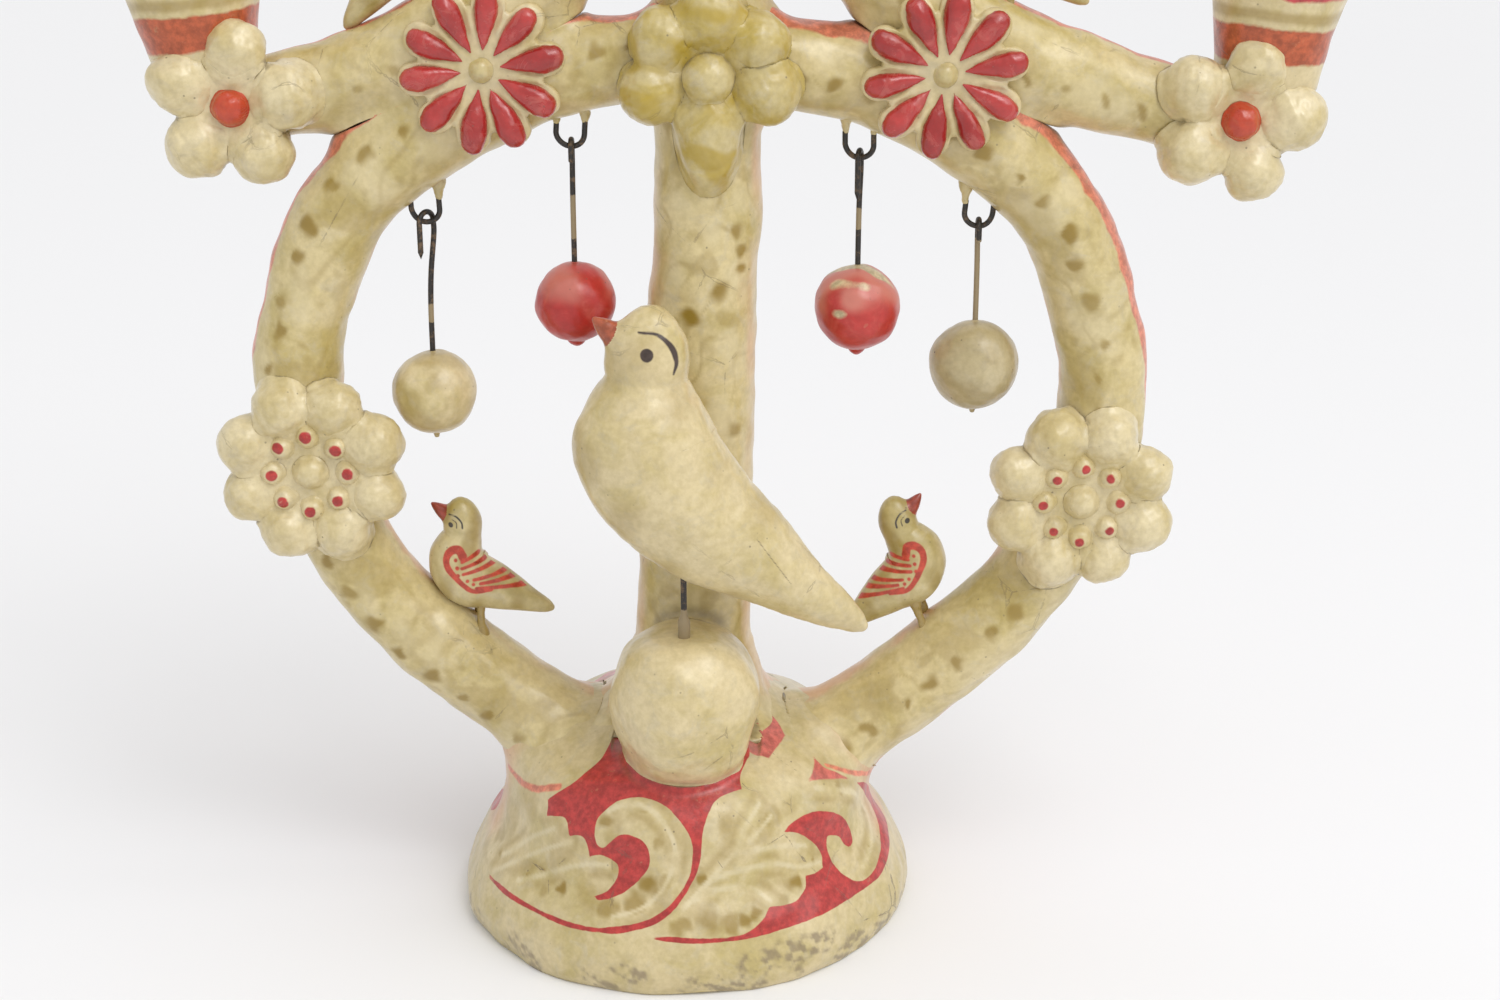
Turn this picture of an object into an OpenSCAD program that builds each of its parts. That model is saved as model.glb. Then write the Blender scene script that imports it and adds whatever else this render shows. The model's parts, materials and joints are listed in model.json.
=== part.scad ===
// Clay tree of life: a candle holder built up by hand from separate pieces of clay.
// Millimetres, +Z up, +X to the right, the front faces -Y. The origin lies on the table,
// under the middle of the whole width.

/* [Base] */
// Diameter of the bell's foot
base_d = 172; // [150:1:207]
// Height of the bell where the trunk leaves it
base_h = 81; // [76:1:96]
// How far the bell stands left of the middle of the whole width
base_left = 19; // [14:1:22]
// Thickness of the bell's wall
base_wall = 8; // [6:0.5:10]

/* [Trunk] */
// Diameter of the trunk at half its height
trunk_d = 39; // [32:0.5:47]
// How far the trunk leans to the right, in degrees
trunk_lean = 2; // [0:0.5:3]
// Height of the trunk above the heart's top
crown_h = 112; // [95:1:130]

/* [Heart] */
// Height of the heart's top, at the middle of its two branches
arch_z = 318; // [265:1:382]
// Reach of each side of the heart, out from the trunk
heart_reach = 145; // [121:1:174]
// Diameter of a branch at the side of the heart
branch_d = 32; // [26:1:36]

/* [Arms] */
// Reach of the left arm, from the trunk to its candle cup
arm_reach_left = 174; // [150:1:205]
// Reach of the right arm, from the trunk to its candle cup
arm_reach_right = 193; // [160:1:210]
// Height above the heart's shoulders at which the arms leave the trunk
arm_rise = 78; // [65:1:90]
// Diameter of an arm at its outer end
arm_d = 28; // [24:1:31]

/* [Candle cups] */
// Height of a cup
cup_h = 56; // [48:1:64]
// Diameter of a cup's rim
cup_rim_d = 59; // [53:1:66]
// Diameter of the socket that holds the candle
socket_d = 23; // [18:0.5:25]
// Depth of the socket below the cup's mouth
socket_h = 20; // [16:1:24]

/* [Flowers] */
// Radius at which a rosette's outer petals stand
rosette_r = 25; // [22:0.5:28]
// Radius of a daisy, to the tips of its petals
daisy_r = 28.5; // [24:0.5:32]
// Radius at which a cup flower's petals stand
cup_flower_r = 19.4; // [16:0.2:22]

/* [Birds and bud] */
// Height of the bud at the trunk's foot
bud_h = 62; // [54:1:70]
// Bare length of the wire between the bud and the dove
dove_wire_h = 25; // [18:1:34]
// Size of the dove, as a share of 108 mm from tail to crown
dove_scale = 1; // [0.85:0.01:1.1]
// Size of the small birds, as a share of 48 mm from beak to tail
bird_scale = 1; // [0.8:0.01:1.2]

/* [Hanging balls] */
// Diameter of the iron wire
wire_d = 2; // [1.6:0.1:2.4]
// Inside width of the wire eyes
eye_w = 8; // [7:0.5:10]
// Gap between a hook and the eye that it hangs in
hook_gap = 0.4; // [0.3:0.05:0.6]
// Length from the first eye to the middle of its ball, counted from the left
hang_1 = 63; // [52:1:76]
// Length from the second eye to the middle of its ball
hang_2 = 56; // [46:1:68]
// Length from the third eye to the middle of its ball
hang_3 = 54; // [44:1:65]
// Length from the fourth eye to the middle of its ball
hang_4 = 51; // [42:1:62]
// Diameter of the first ball, counted from the left
ball_1 = 30.6; // [25:0.2:34]
// Diameter of the second ball
ball_2 = 28.8; // [25:0.2:32]
// Diameter of the third ball
ball_3 = 30.8; // [25:0.2:34]
// Diameter of the fourth ball
ball_4 = 32.4; // [27:0.2:36]

/* [Hidden] */

cream = [0.87, 0.80, 0.60];
olive = [0.80, 0.75, 0.42];
crimson = [0.82, 0.20, 0.22];
orange = [0.88, 0.38, 0.24];
iron = [0.22, 0.22, 0.21];
$fn = 48;

// ---- curves ----------------------------------------------------------------------

// Knot i of a list, carried on in a straight line past both ends
function knot(p, i) =
    i < 0 ? 2 * p[0] - p[1] :
    i >= len(p) ? 2 * p[len(p) - 1] - p[len(p) - 2] : p[i];

// Point of the smooth curve through four knots, between the middle two
function blend(a, b, c, d, t) =
    0.5 * (2 * b + (c - a) * t + (2 * a - 5 * b + 4 * c - d) * t * t
    + (3 * b - a - 3 * c + d) * t * t * t);

// Point of the smooth curve through p at s, which counts the knots from 0
function along(p, s) =
    let (i = min(floor(s), len(p) - 2))
    blend(knot(p, i - 1), knot(p, i), knot(p, i + 1), knot(p, i + 2), s - i);

// The same curve as a list of steps + 1 points
function curve(p, steps) = [for (k = [0 : steps]) along(p, k * (len(p) - 1) / steps)];

// Heading at place s, as a unit vector in the X-Z plane
function heading(p, s) =
    let (a = along(p, max(s - 0.02, 0)), b = along(p, min(s + 0.02, len(p) - 1)),
        d = [b[0] - a[0], b[1] - a[1]])
    d / norm(d);

// Heading at point i of a list that is already a curve
function step_heading(p, i) =
    let (a = p[max(i - 1, 0)], b = p[min(i + 1, len(p) - 1)], d = [b[0] - a[0], b[1] - a[1]])
    d / norm(d);

// A round rod through points [x, z, radius] in the X-Z plane; wide stretches it along Y
module rod(p, sides, wide = 1) {
    last = len(p) - 1;
    rings = [for (i = [0 : last]) let (h = step_heading(p, i), r = p[i][2])
        for (k = [0 : sides - 1]) let (a = 360 * k / sides)
            [p[i][0] - h[1] * r * sin(a), wide * r * cos(a), p[i][1] + h[0] * r * sin(a)]];
    walls = [for (i = [0 : last - 1]) for (k = [0 : sides - 1])
        let (j = (k + 1) % sides, a = i * sides, b = a + sides)
            each [[a + k, b + k, b + j], [a + k, b + j, a + j]]];
    start = [for (k = [0 : sides - 1]) k];
    end = [for (k = [0 : sides - 1]) last * sides + sides - 1 - k];
    polyhedron(rings, concat([start], walls, [end]), convexity = 6);
}

// Places its children facing the front, with their own z out of the clay
module facing(x, y, z) translate([x, y, z]) rotate([90, 0, 0]) children();

// Turns its children by a row of angles, once for each
module around(count, start = 0) for (k = [0 : count - 1]) rotate(start + 360 * k / count) children();

// ---- places ----------------------------------------------------------------------

// Height at which the lean of the trunk starts
lean_z = 60;
// How deep the trunk's foot is set into the bell
trunk_set = 11;
// The trunk's axis at height z
function trunk_x(z) = 1.8 - base_left + (z - lean_z) * tan(trunk_lean);

heart_x = trunk_x(210);
heart_z = base_h - 12;
// The heart's side: reach out of the trunk, height between root and top, share of branch_d
heart_shape = [
    [0.27, -0.035, 1.1], [0.40, 0, 1.1], [0.64, 0.11, 1.06], [0.80, 0.20, 1.02],
    [0.91, 0.30, 1], [0.98, 0.39, 1], [1.005, 0.49, 1], [1, 0.60, 1], [0.965, 0.68, 1],
    [0.915, 0.755, 1], [0.83, 0.83, 1], [0.71, 0.888, 1], [0.56, 0.94, 0.98],
    [0.37, 0.99, 0.96], [0.20, 1.01, 0.96], [0.04, 1.02, 0.96]
];
function heart_path(side) = [for (q = heart_shape)
    [heart_x + side * heart_reach * q[0], heart_z + (arch_z - heart_z) * q[1], branch_d / 2 * q[2]]];
heart_left = heart_path(-1);
heart_right = heart_path(1);

// Place of each daisy along its side of the heart, where an arm lies on the heart's shoulder
daisy_place_left = 12.3;
daisy_place_right = 11.88;
// How far an arm's own level is set below the top of that shoulder, left and right
arm_seat_left = 6.426;
arm_seat_right = 1.343;
arm_z_left = surface_z(heart_left, daisy_place_left, 1) - arm_seat_left;
arm_z_right = surface_z(heart_right, daisy_place_right, 1) - arm_seat_right;

arm_x = trunk_x(arch_z);
// How far below its own level an arm ends, left and right
arm_drop_left = 10;
arm_drop_right = 15;
// An arm: reach out of the trunk, height between its outer end and the trunk, share of arm_d
arm_shape = [
    [0.05, 0.97, 1.1], [0.10, 0.886, 1.14], [0.22, 0.69, 1.17], [0.32, 0.50, 1.18],
    [0.425, 0.34, 1.18], [0.54, 0.22, 1.17], [0.68, 0.108, 1.1], [0.83, 0.017, 1.02],
    [0.93, -0.015, 1], [0.988, 0.05, 1.05], [1, 0.15, 1.1]
];
function arm_path(side, reach, z, drop) = [for (q = arm_shape)
    [arm_x + side * reach * q[0], z - drop + (arm_rise + drop) * q[1], arm_d / 2 * q[2]]];
arm_left_path = arm_path(-1, arm_reach_left, arm_z_left, arm_drop_left);
arm_right_path = arm_path(1, arm_reach_right, arm_z_right, arm_drop_right);

// Height of a rod's surface straight above (up = 1) or below (up = -1) its axis at place s
function surface_z(p, s, up) = along(p, s)[1] + up * along(p, s)[2] / abs(heading(p, s)[0]);

// ---- base, trunk and bud ---------------------------------------------------------

// The bell's outline: share of the foot's radius, share of the height
bell_shape = [
    [0.985, 0], [1, 0.07], [0.985, 0.17], [0.93, 0.30], [0.855, 0.42], [0.815, 0.54],
    [0.79, 0.66], [0.71, 0.79], [0.54, 0.90], [0.30, 0.97], [0, 1]
];
module base() {
    foot_r = base_d / 2;
    dome_z = base_h - 33;
    outside = curve([for (q = bell_shape) [foot_r * q[0], base_h * q[1]]], 30);
    inside = [for (a = [90 : -6 : 0])
        [(foot_r - base_wall) * cos(a) * (0.86 + 0.14 * cos(a)), dome_z * sin(a)]];
    color(cream) translate([-base_left, 0, 0]) rotate_extrude($fn = 72)
        polygon(concat(outside, inside));
}

trunk_r = trunk_d / 2;
trunk_top_r = trunk_r * 0.9;
trunk_top = arch_z + crown_h;
// The trunk's flared foot: height over its lower end, share of the trunk's radius
trunk_foot = [[0, 1.96], [8, 1.66], [18, 1.42], [32, 1.19], [50, 1.08]];
module trunk() {
    foot_z = base_h - trunk_set;
    length = (trunk_top - foot_z) / cos(trunk_lean);
    outline = curve(concat([for (q = trunk_foot) [trunk_r * q[1], q[0]]],
        [[trunk_r, length * 0.45], [trunk_r * 0.92, length * 0.85], [trunk_top_r, length]]), 26);
    color(cream) translate([trunk_x(foot_z), 0, foot_z]) rotate([0, trunk_lean, 0])
        rotate_extrude() polygon(concat([[0, 0]], outline, [[0, length]]));
}

bud_r = 27;
bud_x = trunk_x(lean_z) - 0.5;
bud_y = -trunk_r - 19.5;
bud_z = base_h + 11;
bud_top = bud_z + bud_h / 2;
module bud() {
    outline = [for (a = [-90 : 10 : 90]) [bud_r * cos(a), bud_h / 2 * sin(a)]];
    color(cream) translate([bud_x, bud_y, bud_z]) rotate_extrude() polygon(outline);
}

// ---- branches and arms -----------------------------------------------------------

module heart_branch_left() color(cream) rod(curve(heart_left, 42), 20);
module heart_branch_right() color(cream) rod(curve(heart_right, 42), 20);
module arm_left() color(cream) rod(curve(arm_left_path, 30), 18);
module arm_right() color(cream) rod(curve(arm_right_path, 30), 18);

// ---- candle cups -----------------------------------------------------------------

cup_foot_r = 17.5;
cup_lip = 3;
// How far the side cups tilt outward, left and right, in degrees
cup_tilt_left = 6;
cup_tilt_right = 4;
// How deep a cup's foot is set into the clay under it
cup_sink = 4;

module candle_cup() {
    rim_r = cup_rim_d / 2;
    socket_r = socket_d / 2;
    mouth_z = cup_h - 24;
    wall = [for (t = [0 : 0.1 : 0.9])
        [cup_foot_r + (rim_r - 1.5 - cup_foot_r) * pow(t, 1.15), (cup_h - 4) * t]];
    lip = [for (a = [-60 : 30 : 150])
        [rim_r - cup_lip + cup_lip * cos(a), cup_h - cup_lip + cup_lip * sin(a)]];
    mouth = [[socket_r + 5, mouth_z + 6], [socket_r, mouth_z], [socket_r, mouth_z - socket_h],
        [0, mouth_z - socket_h], [0, 0]];
    rotate_extrude() polygon(concat(wall, lip, mouth));
}
// Puts a cup at the end of an arm, tilted outward
module at_arm_end(p, tilt) {
    foot = p[len(p) - 1];
    translate([foot[0], 0, foot[1] - cup_sink]) rotate([0, tilt, 0]) children();
}
module candle_cup_left() color(cream) at_arm_end(arm_left_path, -cup_tilt_left) candle_cup();
module candle_cup_right() color(cream) at_arm_end(arm_right_path, cup_tilt_right) candle_cup();
module candle_cup_top()
    color(cream) translate([trunk_x(trunk_top), 0, trunk_top - cup_sink])
        rotate([0, trunk_lean, 0]) candle_cup();

// ---- flowers ---------------------------------------------------------------------

// How far a flower's back is set into the clay behind it
flower_sink = 4;

// A domed petal of radius r, standing out to r * 0.6 over its origin
module dome(r) translate([0, 0, -0.4 * r]) sphere(r, $fn = 32);

module plate(r, thick) translate([0, 0, -flower_sink - 1]) cylinder(r = r, h = flower_sink + 1 + thick);

// Cuts the back of a flower flat, flower_sink inside the clay behind it
flower_cut = 60;
module flat_back() intersection() {
    union() children();
    translate([0, 0, -flower_sink]) cylinder(r = flower_cut, h = flower_cut);
}

// A drop with its point at the origin and its round end at x = length
module drop(length, width) {
    outline = [for (t = [0 : 1 / 12 : 1]) [width / 2 * sin(180 * pow(t, 1.5)), length * t]];
    rotate([0, 0, -90]) rotate([-90, 0, 0]) rotate_extrude($fn = 24) polygon(outline);
}

// Rosettes, on the sides of the heart
rosette_place_left = 5.42;
rosette_place_right = 4.95;
rosette_inset = 4;
rosette_dome = 10.2;
module at_rosette(p, side) {
    c = along(p, side < 0 ? rosette_place_left : rosette_place_right);
    facing(c[0] - side * rosette_inset, -c[2], c[1]) children();
}
module rosette_petals() flat_back() {
    plate(rosette_r, 3);
    around(8, 22.5) translate([rosette_r, 0, 3]) dome(rosette_dome);
}
module rosette_knobs() around(8) translate([rosette_r * 0.55, 0, 3]) sphere(4.2, $fn = 24);
module rosette_boss() translate([0, 0, 2]) sphere(6, $fn = 24);
module rosette_left_petals() color(cream) at_rosette(heart_left, -1) rosette_petals();
module rosette_left_knobs() color(crimson) at_rosette(heart_left, -1) rosette_knobs();
module rosette_left_boss() color(cream) at_rosette(heart_left, -1) rosette_boss();
module rosette_right_petals() color(cream) at_rosette(heart_right, 1) rosette_petals();
module rosette_right_knobs() color(crimson) at_rosette(heart_right, 1) rosette_knobs();
module rosette_right_boss() color(cream) at_rosette(heart_right, 1) rosette_boss();

// Daisies, over the places where the arms cross the heart
daisy_lift_left = 13;
daisy_lift_right = 17;
module at_daisy(p, place, lift) {
    c = along(p, place);
    facing(c[0], -c[2], c[1] + lift) children();
}
module daisy_left() at_daisy(heart_left, daisy_place_left, daisy_lift_left) children();
module daisy_right() at_daisy(heart_right, daisy_place_right, daisy_lift_right) children();
daisy_scallop = 6;
module daisy_pad() translate([0, 0, -flower_sink]) linear_extrude(flower_sink + 2.4) {
    circle(daisy_r - daisy_scallop + 0.5);
    around(10, 9) translate([daisy_r - daisy_scallop + 0.5, 0]) circle(daisy_scallop, $fn = 24);
}
module daisy_petals() around(10, 9) translate([6.5, 0, 2.6]) drop(daisy_r - 6.5, 9.4);
module daisy_button() translate([0, 0, 2]) sphere(3.6, $fn = 24);
module daisy_left_pad() color(cream) daisy_left() daisy_pad();
module daisy_left_petals() color(crimson) daisy_left() daisy_petals();
module daisy_left_button() color(olive) daisy_left() daisy_button();
module daisy_right_pad() color(cream) daisy_right() daisy_pad();
module daisy_right_petals() color(crimson) daisy_right() daisy_petals();
module daisy_right_button() color(olive) daisy_right() daisy_button();

// Cup flowers, at the feet of the candle cups
cup_flower_dome = 10.8;
module at_cup_flower(x, y, z) facing(x, -y, z) children();
module cup_flower_petals(turn) flat_back() {
    plate(cup_flower_r - 2, 2);
    around(5, turn) translate([cup_flower_r, 0, 2]) dome(cup_flower_dome);
}
module cup_flower_button() translate([0, 0, 2]) sphere(6.2, $fn = 32);
module at_arm_flower(p, reach_in) {
    c = along(p, 9);
    at_cup_flower(c[0] - reach_in, c[2] + 1, c[1] - 5) children();
}
module at_top_flower() at_cup_flower(trunk_x(trunk_top), trunk_top_r + 0.95, trunk_top + 6) children();
module cup_flower_left_petals() color(cream) at_arm_flower(arm_left_path, -9) cup_flower_petals(83);
module cup_flower_left_button() color(orange) at_arm_flower(arm_left_path, -9) cup_flower_button();
module cup_flower_right_petals() color(cream) at_arm_flower(arm_right_path, 9) cup_flower_petals(73);
module cup_flower_right_button() color(orange) at_arm_flower(arm_right_path, 9) cup_flower_button();
module cup_flower_top_petals() color(cream) at_top_flower() cup_flower_petals(90);
module cup_flower_top_button() color(orange) at_top_flower() cup_flower_button();

// Centre flower, on the trunk at the heart's top
centre_r = 20.5;
centre_dome = 11;
centre_angles = [34, 88, 141, 196, 346];
module at_centre() facing(trunk_x(arch_z), -trunk_r, arch_z) children();
module centre_flower_petals() color(olive) at_centre() flat_back() {
    plate(centre_r - 2, 3);
    for (a = centre_angles) rotate(a) translate([centre_r, 0, 3]) dome(centre_dome);
    // The long petal that hangs down the trunk
    rotate(-90) translate([4, 0, -1]) drop(34, 24);
}
module centre_flower_button() color(olive) at_centre() translate([0, 0, 3]) sphere(9, $fn = 32);

// ---- birds -----------------------------------------------------------------------

// The dove's axis from crown to tail, [x, z, radius], with its wire at the origin
dove_shape = [
    [-10, 92.5, 0.8], [-11, 88.5, 8.5], [-11.5, 79, 14.2], [-12, 69, 14.2], [-12.5, 59, 18.3],
    [-13, 47, 24.5], [-6, 33, 24.8], [6, 20, 22], [21, 9, 18], [36, -2.5, 13],
    [50, -12.5, 8.5], [59, -18.5, 5], [63.5, -21.5, 2.2]
];
// How far a bird's wire or leg runs into the clay at each end
wire_set = 9;
dove_x = bud_x;
// The dove stands clear of the trunk's front face
dove_y = -trunk_r - 1.5 - 21.5 * dove_scale;
dove_z = bud_top + dove_wire_h;
module dove() color(cream) translate([dove_x, dove_y, dove_z]) scale(dove_scale) {
    rod(curve(dove_shape, 32), 24, wide = 0.86);
    translate([-20.5, 0, 84.5]) rotate([0, -50, 0]) cylinder(h = 11.5, r1 = 5, r2 = 0.8, $fn = 24);
}
module dove_wire() color(iron) translate([dove_x, dove_y, bud_top - wire_set])
    cylinder(d = wire_d + 0.2, h = wire_set + dove_wire_h + 7);

// A small bird's axis from crown to tail, with its feet's middle at the origin
bird_shape = [
    [-8.6, 37.9, 0.6], [-8.4, 35.6, 4.8], [-7.6, 30.6, 7.3], [-7.6, 24.9, 7.6], [-8.2, 18.4, 10.4],
    [-4.7, 11.5, 11.4], [4.9, 7.2, 9], [15.4, 2.9, 6.1], [23.5, -0.4, 3.3], [27, -1.8, 1.3]
];
bird_width = 0.9;
leg_r = 1.5;
leg_spread = 4;
// Bare length of a small bird's legs over the clay
leg_h = 6.3;
// back moves the body towards its tail, so that it stands over its legs
module small_bird(back = 0) translate([back, 0, back / 6]) {
    rod(curve(bird_shape, 24), 18, wide = bird_width);
    translate([-13, 0, 33]) rotate([0, -55, 0]) cylinder(h = 8, r1 = 3.2, r2 = 0.5, $fn = 18);
}
module bird_legs()
    for (side = [-1, 1]) translate([-side, side * leg_spread, -leg_h * 1.2 - wire_set])
        cylinder(r = leg_r, h = leg_h * 1.2 + wire_set + 5, $fn = 16);
// Stands a bird on rod p at place s, facing left (1) or right (-1), tipped back by lift degrees
module perched(p, s, left, lift) {
    c = along(p, s);
    top = surface_z(p, s, 1) + leg_h;
    translate([c[0], 0, top]) mirror([left > 0 ? 0 : 1, 0, 0]) rotate([0, lift, 0])
        scale(bird_scale) children();
}
lower_place = 1.74;
upper_place_left = 5.35;
upper_place_right = 4.95;
module lower_left() perched(heart_left, lower_place, 1, 0) children();
module lower_right() perched(heart_right, lower_place - 0.06, -1, 18) children();
module upper_left() perched(arm_left_path, upper_place_left, -1, 30) children();
module upper_right() perched(arm_right_path, upper_place_right, 1, 12) children();
module lower_bird_left() color(cream) lower_left() small_bird();
module lower_bird_left_legs() color(olive) lower_left() bird_legs();
module lower_bird_right() color(cream) lower_right() small_bird(9);
module lower_bird_right_legs() color(olive) lower_right() bird_legs();
module upper_bird_left() color(cream) upper_left() small_bird();
module upper_bird_left_legs() color(olive) upper_left() bird_legs();
module upper_bird_right() color(cream) upper_right() small_bird();
module upper_bird_right_legs() color(olive) upper_right() bird_legs();

// ---- eyes, hooks and balls -------------------------------------------------------

wire_r = wire_d / 2;
eye_r = (eye_w + wire_d) / 2;
// Depth of an eye below the branch, and how far its ends run into the clay
eye_drop = 11.5;
eye_set = 6;

// Place of each eye along its branch
eye_places = [11.3, 13.35, 12.9, 11.2];
eye_paths = [heart_left, heart_left, heart_right, heart_right];
function eye_x(i) = along(eye_paths[i], eye_places[i])[0];
// Height of the eye's lowest wire, which is the hinge of its ball
function eye_z(i) = surface_z(eye_paths[i], eye_places[i], -1) - eye_drop;

// A bent wire through points [x, z] in the X-Z plane
module wire(p, r) rod([for (q = p) [q[0], q[1], r]], 10);

// A U of wire; each leg ends eye_set inside the clay, which slopes from leg to leg
module eye(i) {
    h = heading(eye_paths[i], eye_places[i]);
    rise = eye_r * h[1] / h[0];
    bend = [for (a = [180 : 20 : 360]) [eye_r * cos(a), eye_r + eye_r * sin(a)]];
    color(iron) translate([eye_x(i), 0, eye_z(i)])
        wire(concat([[-eye_r, eye_drop + eye_set - rise]], bend, [[eye_r, eye_drop + eye_set + rise]]),
            wire_r);
}
module eye_1() eye(0);
module eye_2() eye(1);
module eye_3() eye(2);
module eye_4() eye(3);

hangs = [hang_1, hang_2, hang_3, hang_4];
beads = [ball_1, ball_2, ball_3, ball_4];
// Turn of each hook about the vertical, its bend's radius and its short leg's length
hook_turns = [55, 90, 75, 90];
hook_bends = [3.6, 2 * wire_r + hook_gap, 2 * wire_r + hook_gap + 0.2, 2 * wire_r + hook_gap];
hook_tails = [13, 6, 15, 6];

// A J of wire, bent over the eye's lowest wire at the origin, down to the ball
module hook(i) {
    r = hook_bends[i];
    bend = [for (a = [180 : -20 : 0]) [r * cos(a), r * sin(a)]];
    foot = beads[i] / 2 - 5 - hangs[i];
    color(iron) translate([eye_x(i), 0, eye_z(i)]) rotate(hook_turns[i])
        wire(concat([[-r, -hook_tails[i]]], bend, [[r, -5], [0.2, foot * 0.55], [0, foot]]), wire_r);
}
module hook_1() hook(0);
module hook_2() hook(1);
module hook_3() hook(2);
module hook_4() hook(3);

// A clay ball with a small drop under it
module ball(i, tint, drop_r) color(tint) translate([eye_x(i), 0, eye_z(i) - hangs[i]]) {
    sphere(beads[i] / 2);
    translate([0, 0, -beads[i] / 2 - 2.2]) cylinder(h = 5, r1 = 0.9, r2 = drop_r, $fn = 24);
}
module ball_1_bead() ball(0, cream, 1.4);
module ball_2_bead() ball(1, crimson, 3);
module ball_3_bead() ball(2, crimson, 3);
module ball_4_bead() ball(3, cream, 1.4);

// ---- what is drawn ---------------------------------------------------------------

base();
trunk();
bud();
heart_branch_left();
heart_branch_right();
arm_left();
arm_right();
candle_cup_left();
candle_cup_right();
candle_cup_top();
centre_flower_petals();
centre_flower_button();
daisy_left_pad();
daisy_left_petals();
daisy_left_button();
daisy_right_pad();
daisy_right_petals();
daisy_right_button();
rosette_left_petals();
rosette_left_knobs();
rosette_left_boss();
rosette_right_petals();
rosette_right_knobs();
rosette_right_boss();
cup_flower_left_petals();
cup_flower_left_button();
cup_flower_right_petals();
cup_flower_right_button();
cup_flower_top_petals();
cup_flower_top_button();
dove();
dove_wire();
lower_bird_left();
lower_bird_left_legs();
lower_bird_right();
lower_bird_right_legs();
upper_bird_left();
upper_bird_left_legs();
upper_bird_right();
upper_bird_right_legs();
eye_1();
eye_2();
eye_3();
eye_4();
hook_1();
hook_2();
hook_3();
hook_4();
ball_1_bead();
ball_2_bead();
ball_3_bead();
ball_4_bead();
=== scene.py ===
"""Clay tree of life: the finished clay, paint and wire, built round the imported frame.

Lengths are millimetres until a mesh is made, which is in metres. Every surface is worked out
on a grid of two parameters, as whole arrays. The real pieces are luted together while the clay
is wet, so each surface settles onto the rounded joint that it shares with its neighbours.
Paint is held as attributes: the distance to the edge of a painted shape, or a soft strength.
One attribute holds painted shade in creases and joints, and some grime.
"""

import json

import bpy
import numpy as np
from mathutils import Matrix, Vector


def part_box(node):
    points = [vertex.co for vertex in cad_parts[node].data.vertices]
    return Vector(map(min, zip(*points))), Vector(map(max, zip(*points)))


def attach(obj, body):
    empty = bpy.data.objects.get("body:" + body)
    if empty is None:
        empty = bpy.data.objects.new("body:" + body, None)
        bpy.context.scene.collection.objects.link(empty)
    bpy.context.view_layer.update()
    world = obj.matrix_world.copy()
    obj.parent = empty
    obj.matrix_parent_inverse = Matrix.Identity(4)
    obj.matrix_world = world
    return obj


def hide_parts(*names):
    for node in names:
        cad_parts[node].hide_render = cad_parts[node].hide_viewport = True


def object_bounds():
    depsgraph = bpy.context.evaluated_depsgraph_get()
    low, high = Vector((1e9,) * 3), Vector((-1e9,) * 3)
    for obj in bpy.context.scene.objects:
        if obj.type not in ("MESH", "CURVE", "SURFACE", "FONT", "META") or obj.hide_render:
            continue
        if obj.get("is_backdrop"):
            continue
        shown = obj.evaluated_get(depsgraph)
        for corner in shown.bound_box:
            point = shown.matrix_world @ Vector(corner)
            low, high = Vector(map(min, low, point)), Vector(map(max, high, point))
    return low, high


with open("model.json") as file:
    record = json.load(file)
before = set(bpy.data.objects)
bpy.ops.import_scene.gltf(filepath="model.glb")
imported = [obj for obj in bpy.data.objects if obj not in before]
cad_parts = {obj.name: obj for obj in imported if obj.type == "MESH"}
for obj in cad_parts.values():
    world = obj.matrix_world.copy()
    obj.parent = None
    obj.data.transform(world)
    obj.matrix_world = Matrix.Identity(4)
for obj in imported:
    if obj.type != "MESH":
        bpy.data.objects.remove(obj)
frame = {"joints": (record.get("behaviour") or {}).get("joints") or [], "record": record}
cad_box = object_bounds()

MM = 0.001
TREE = "tree"
# Spacing of the points on the clay, and how many times finer the small pieces are
GRAIN = 1.0
FINE = 0.55


# ---- places, read from the frame ------------------------------------------------------


def box(node):
    """Lowest and highest corner of a CAD node, in millimetres."""
    low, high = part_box(node)
    return np.array(low) / MM, np.array(high) / MM


def middle(node):
    low, high = box(node)
    return (low + high) / 2


def socket(name):
    """Middle and axis of a candle socket."""
    mount = next(m for m in frame["record"]["mounts"] if m["name"] == name)
    return np.array(mount["pos_m"]) / MM, np.array(mount["axis"])


def hinge(number):
    """The lowest wire of an eye, where its ball swings."""
    joint = next(j for j in frame["joints"] if j["name"] == f"ball_{number}_swing")
    return np.array(joint["pos_m"]) / MM


SOCKET_OVER_FOOT = 22
CUP_SINK = 4
BRANCH_R = 16
ARM_R = 14
ARM_RISE = 78
ROOT_DROP = 12

base_low, base_high = box("base")
base_x = (base_low[0] + base_high[0]) / 2
base_r = (base_high[0] - base_low[0]) / 2
base_h = base_high[2]
crown, crown_axis = socket("candle_socket_top")
trunk_lean = crown_axis[0] / crown_axis[2]
trunk_top = crown[2] - SOCKET_OVER_FOOT * crown_axis[2] + CUP_SINK
arch_z = middle("centre_flower_button")[2]
root_z = base_h - ROOT_DROP


def trunk_x(z):
    return crown[0] + (z - crown[2]) * trunk_lean


# ---- curves ---------------------------------------------------------------------------


def ease(x):
    """0 below 0, 1 above 1, and 3x² - 2x³ between."""
    x = np.clip(x, 0, 1)
    return x * x * (3 - 2 * x)


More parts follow.
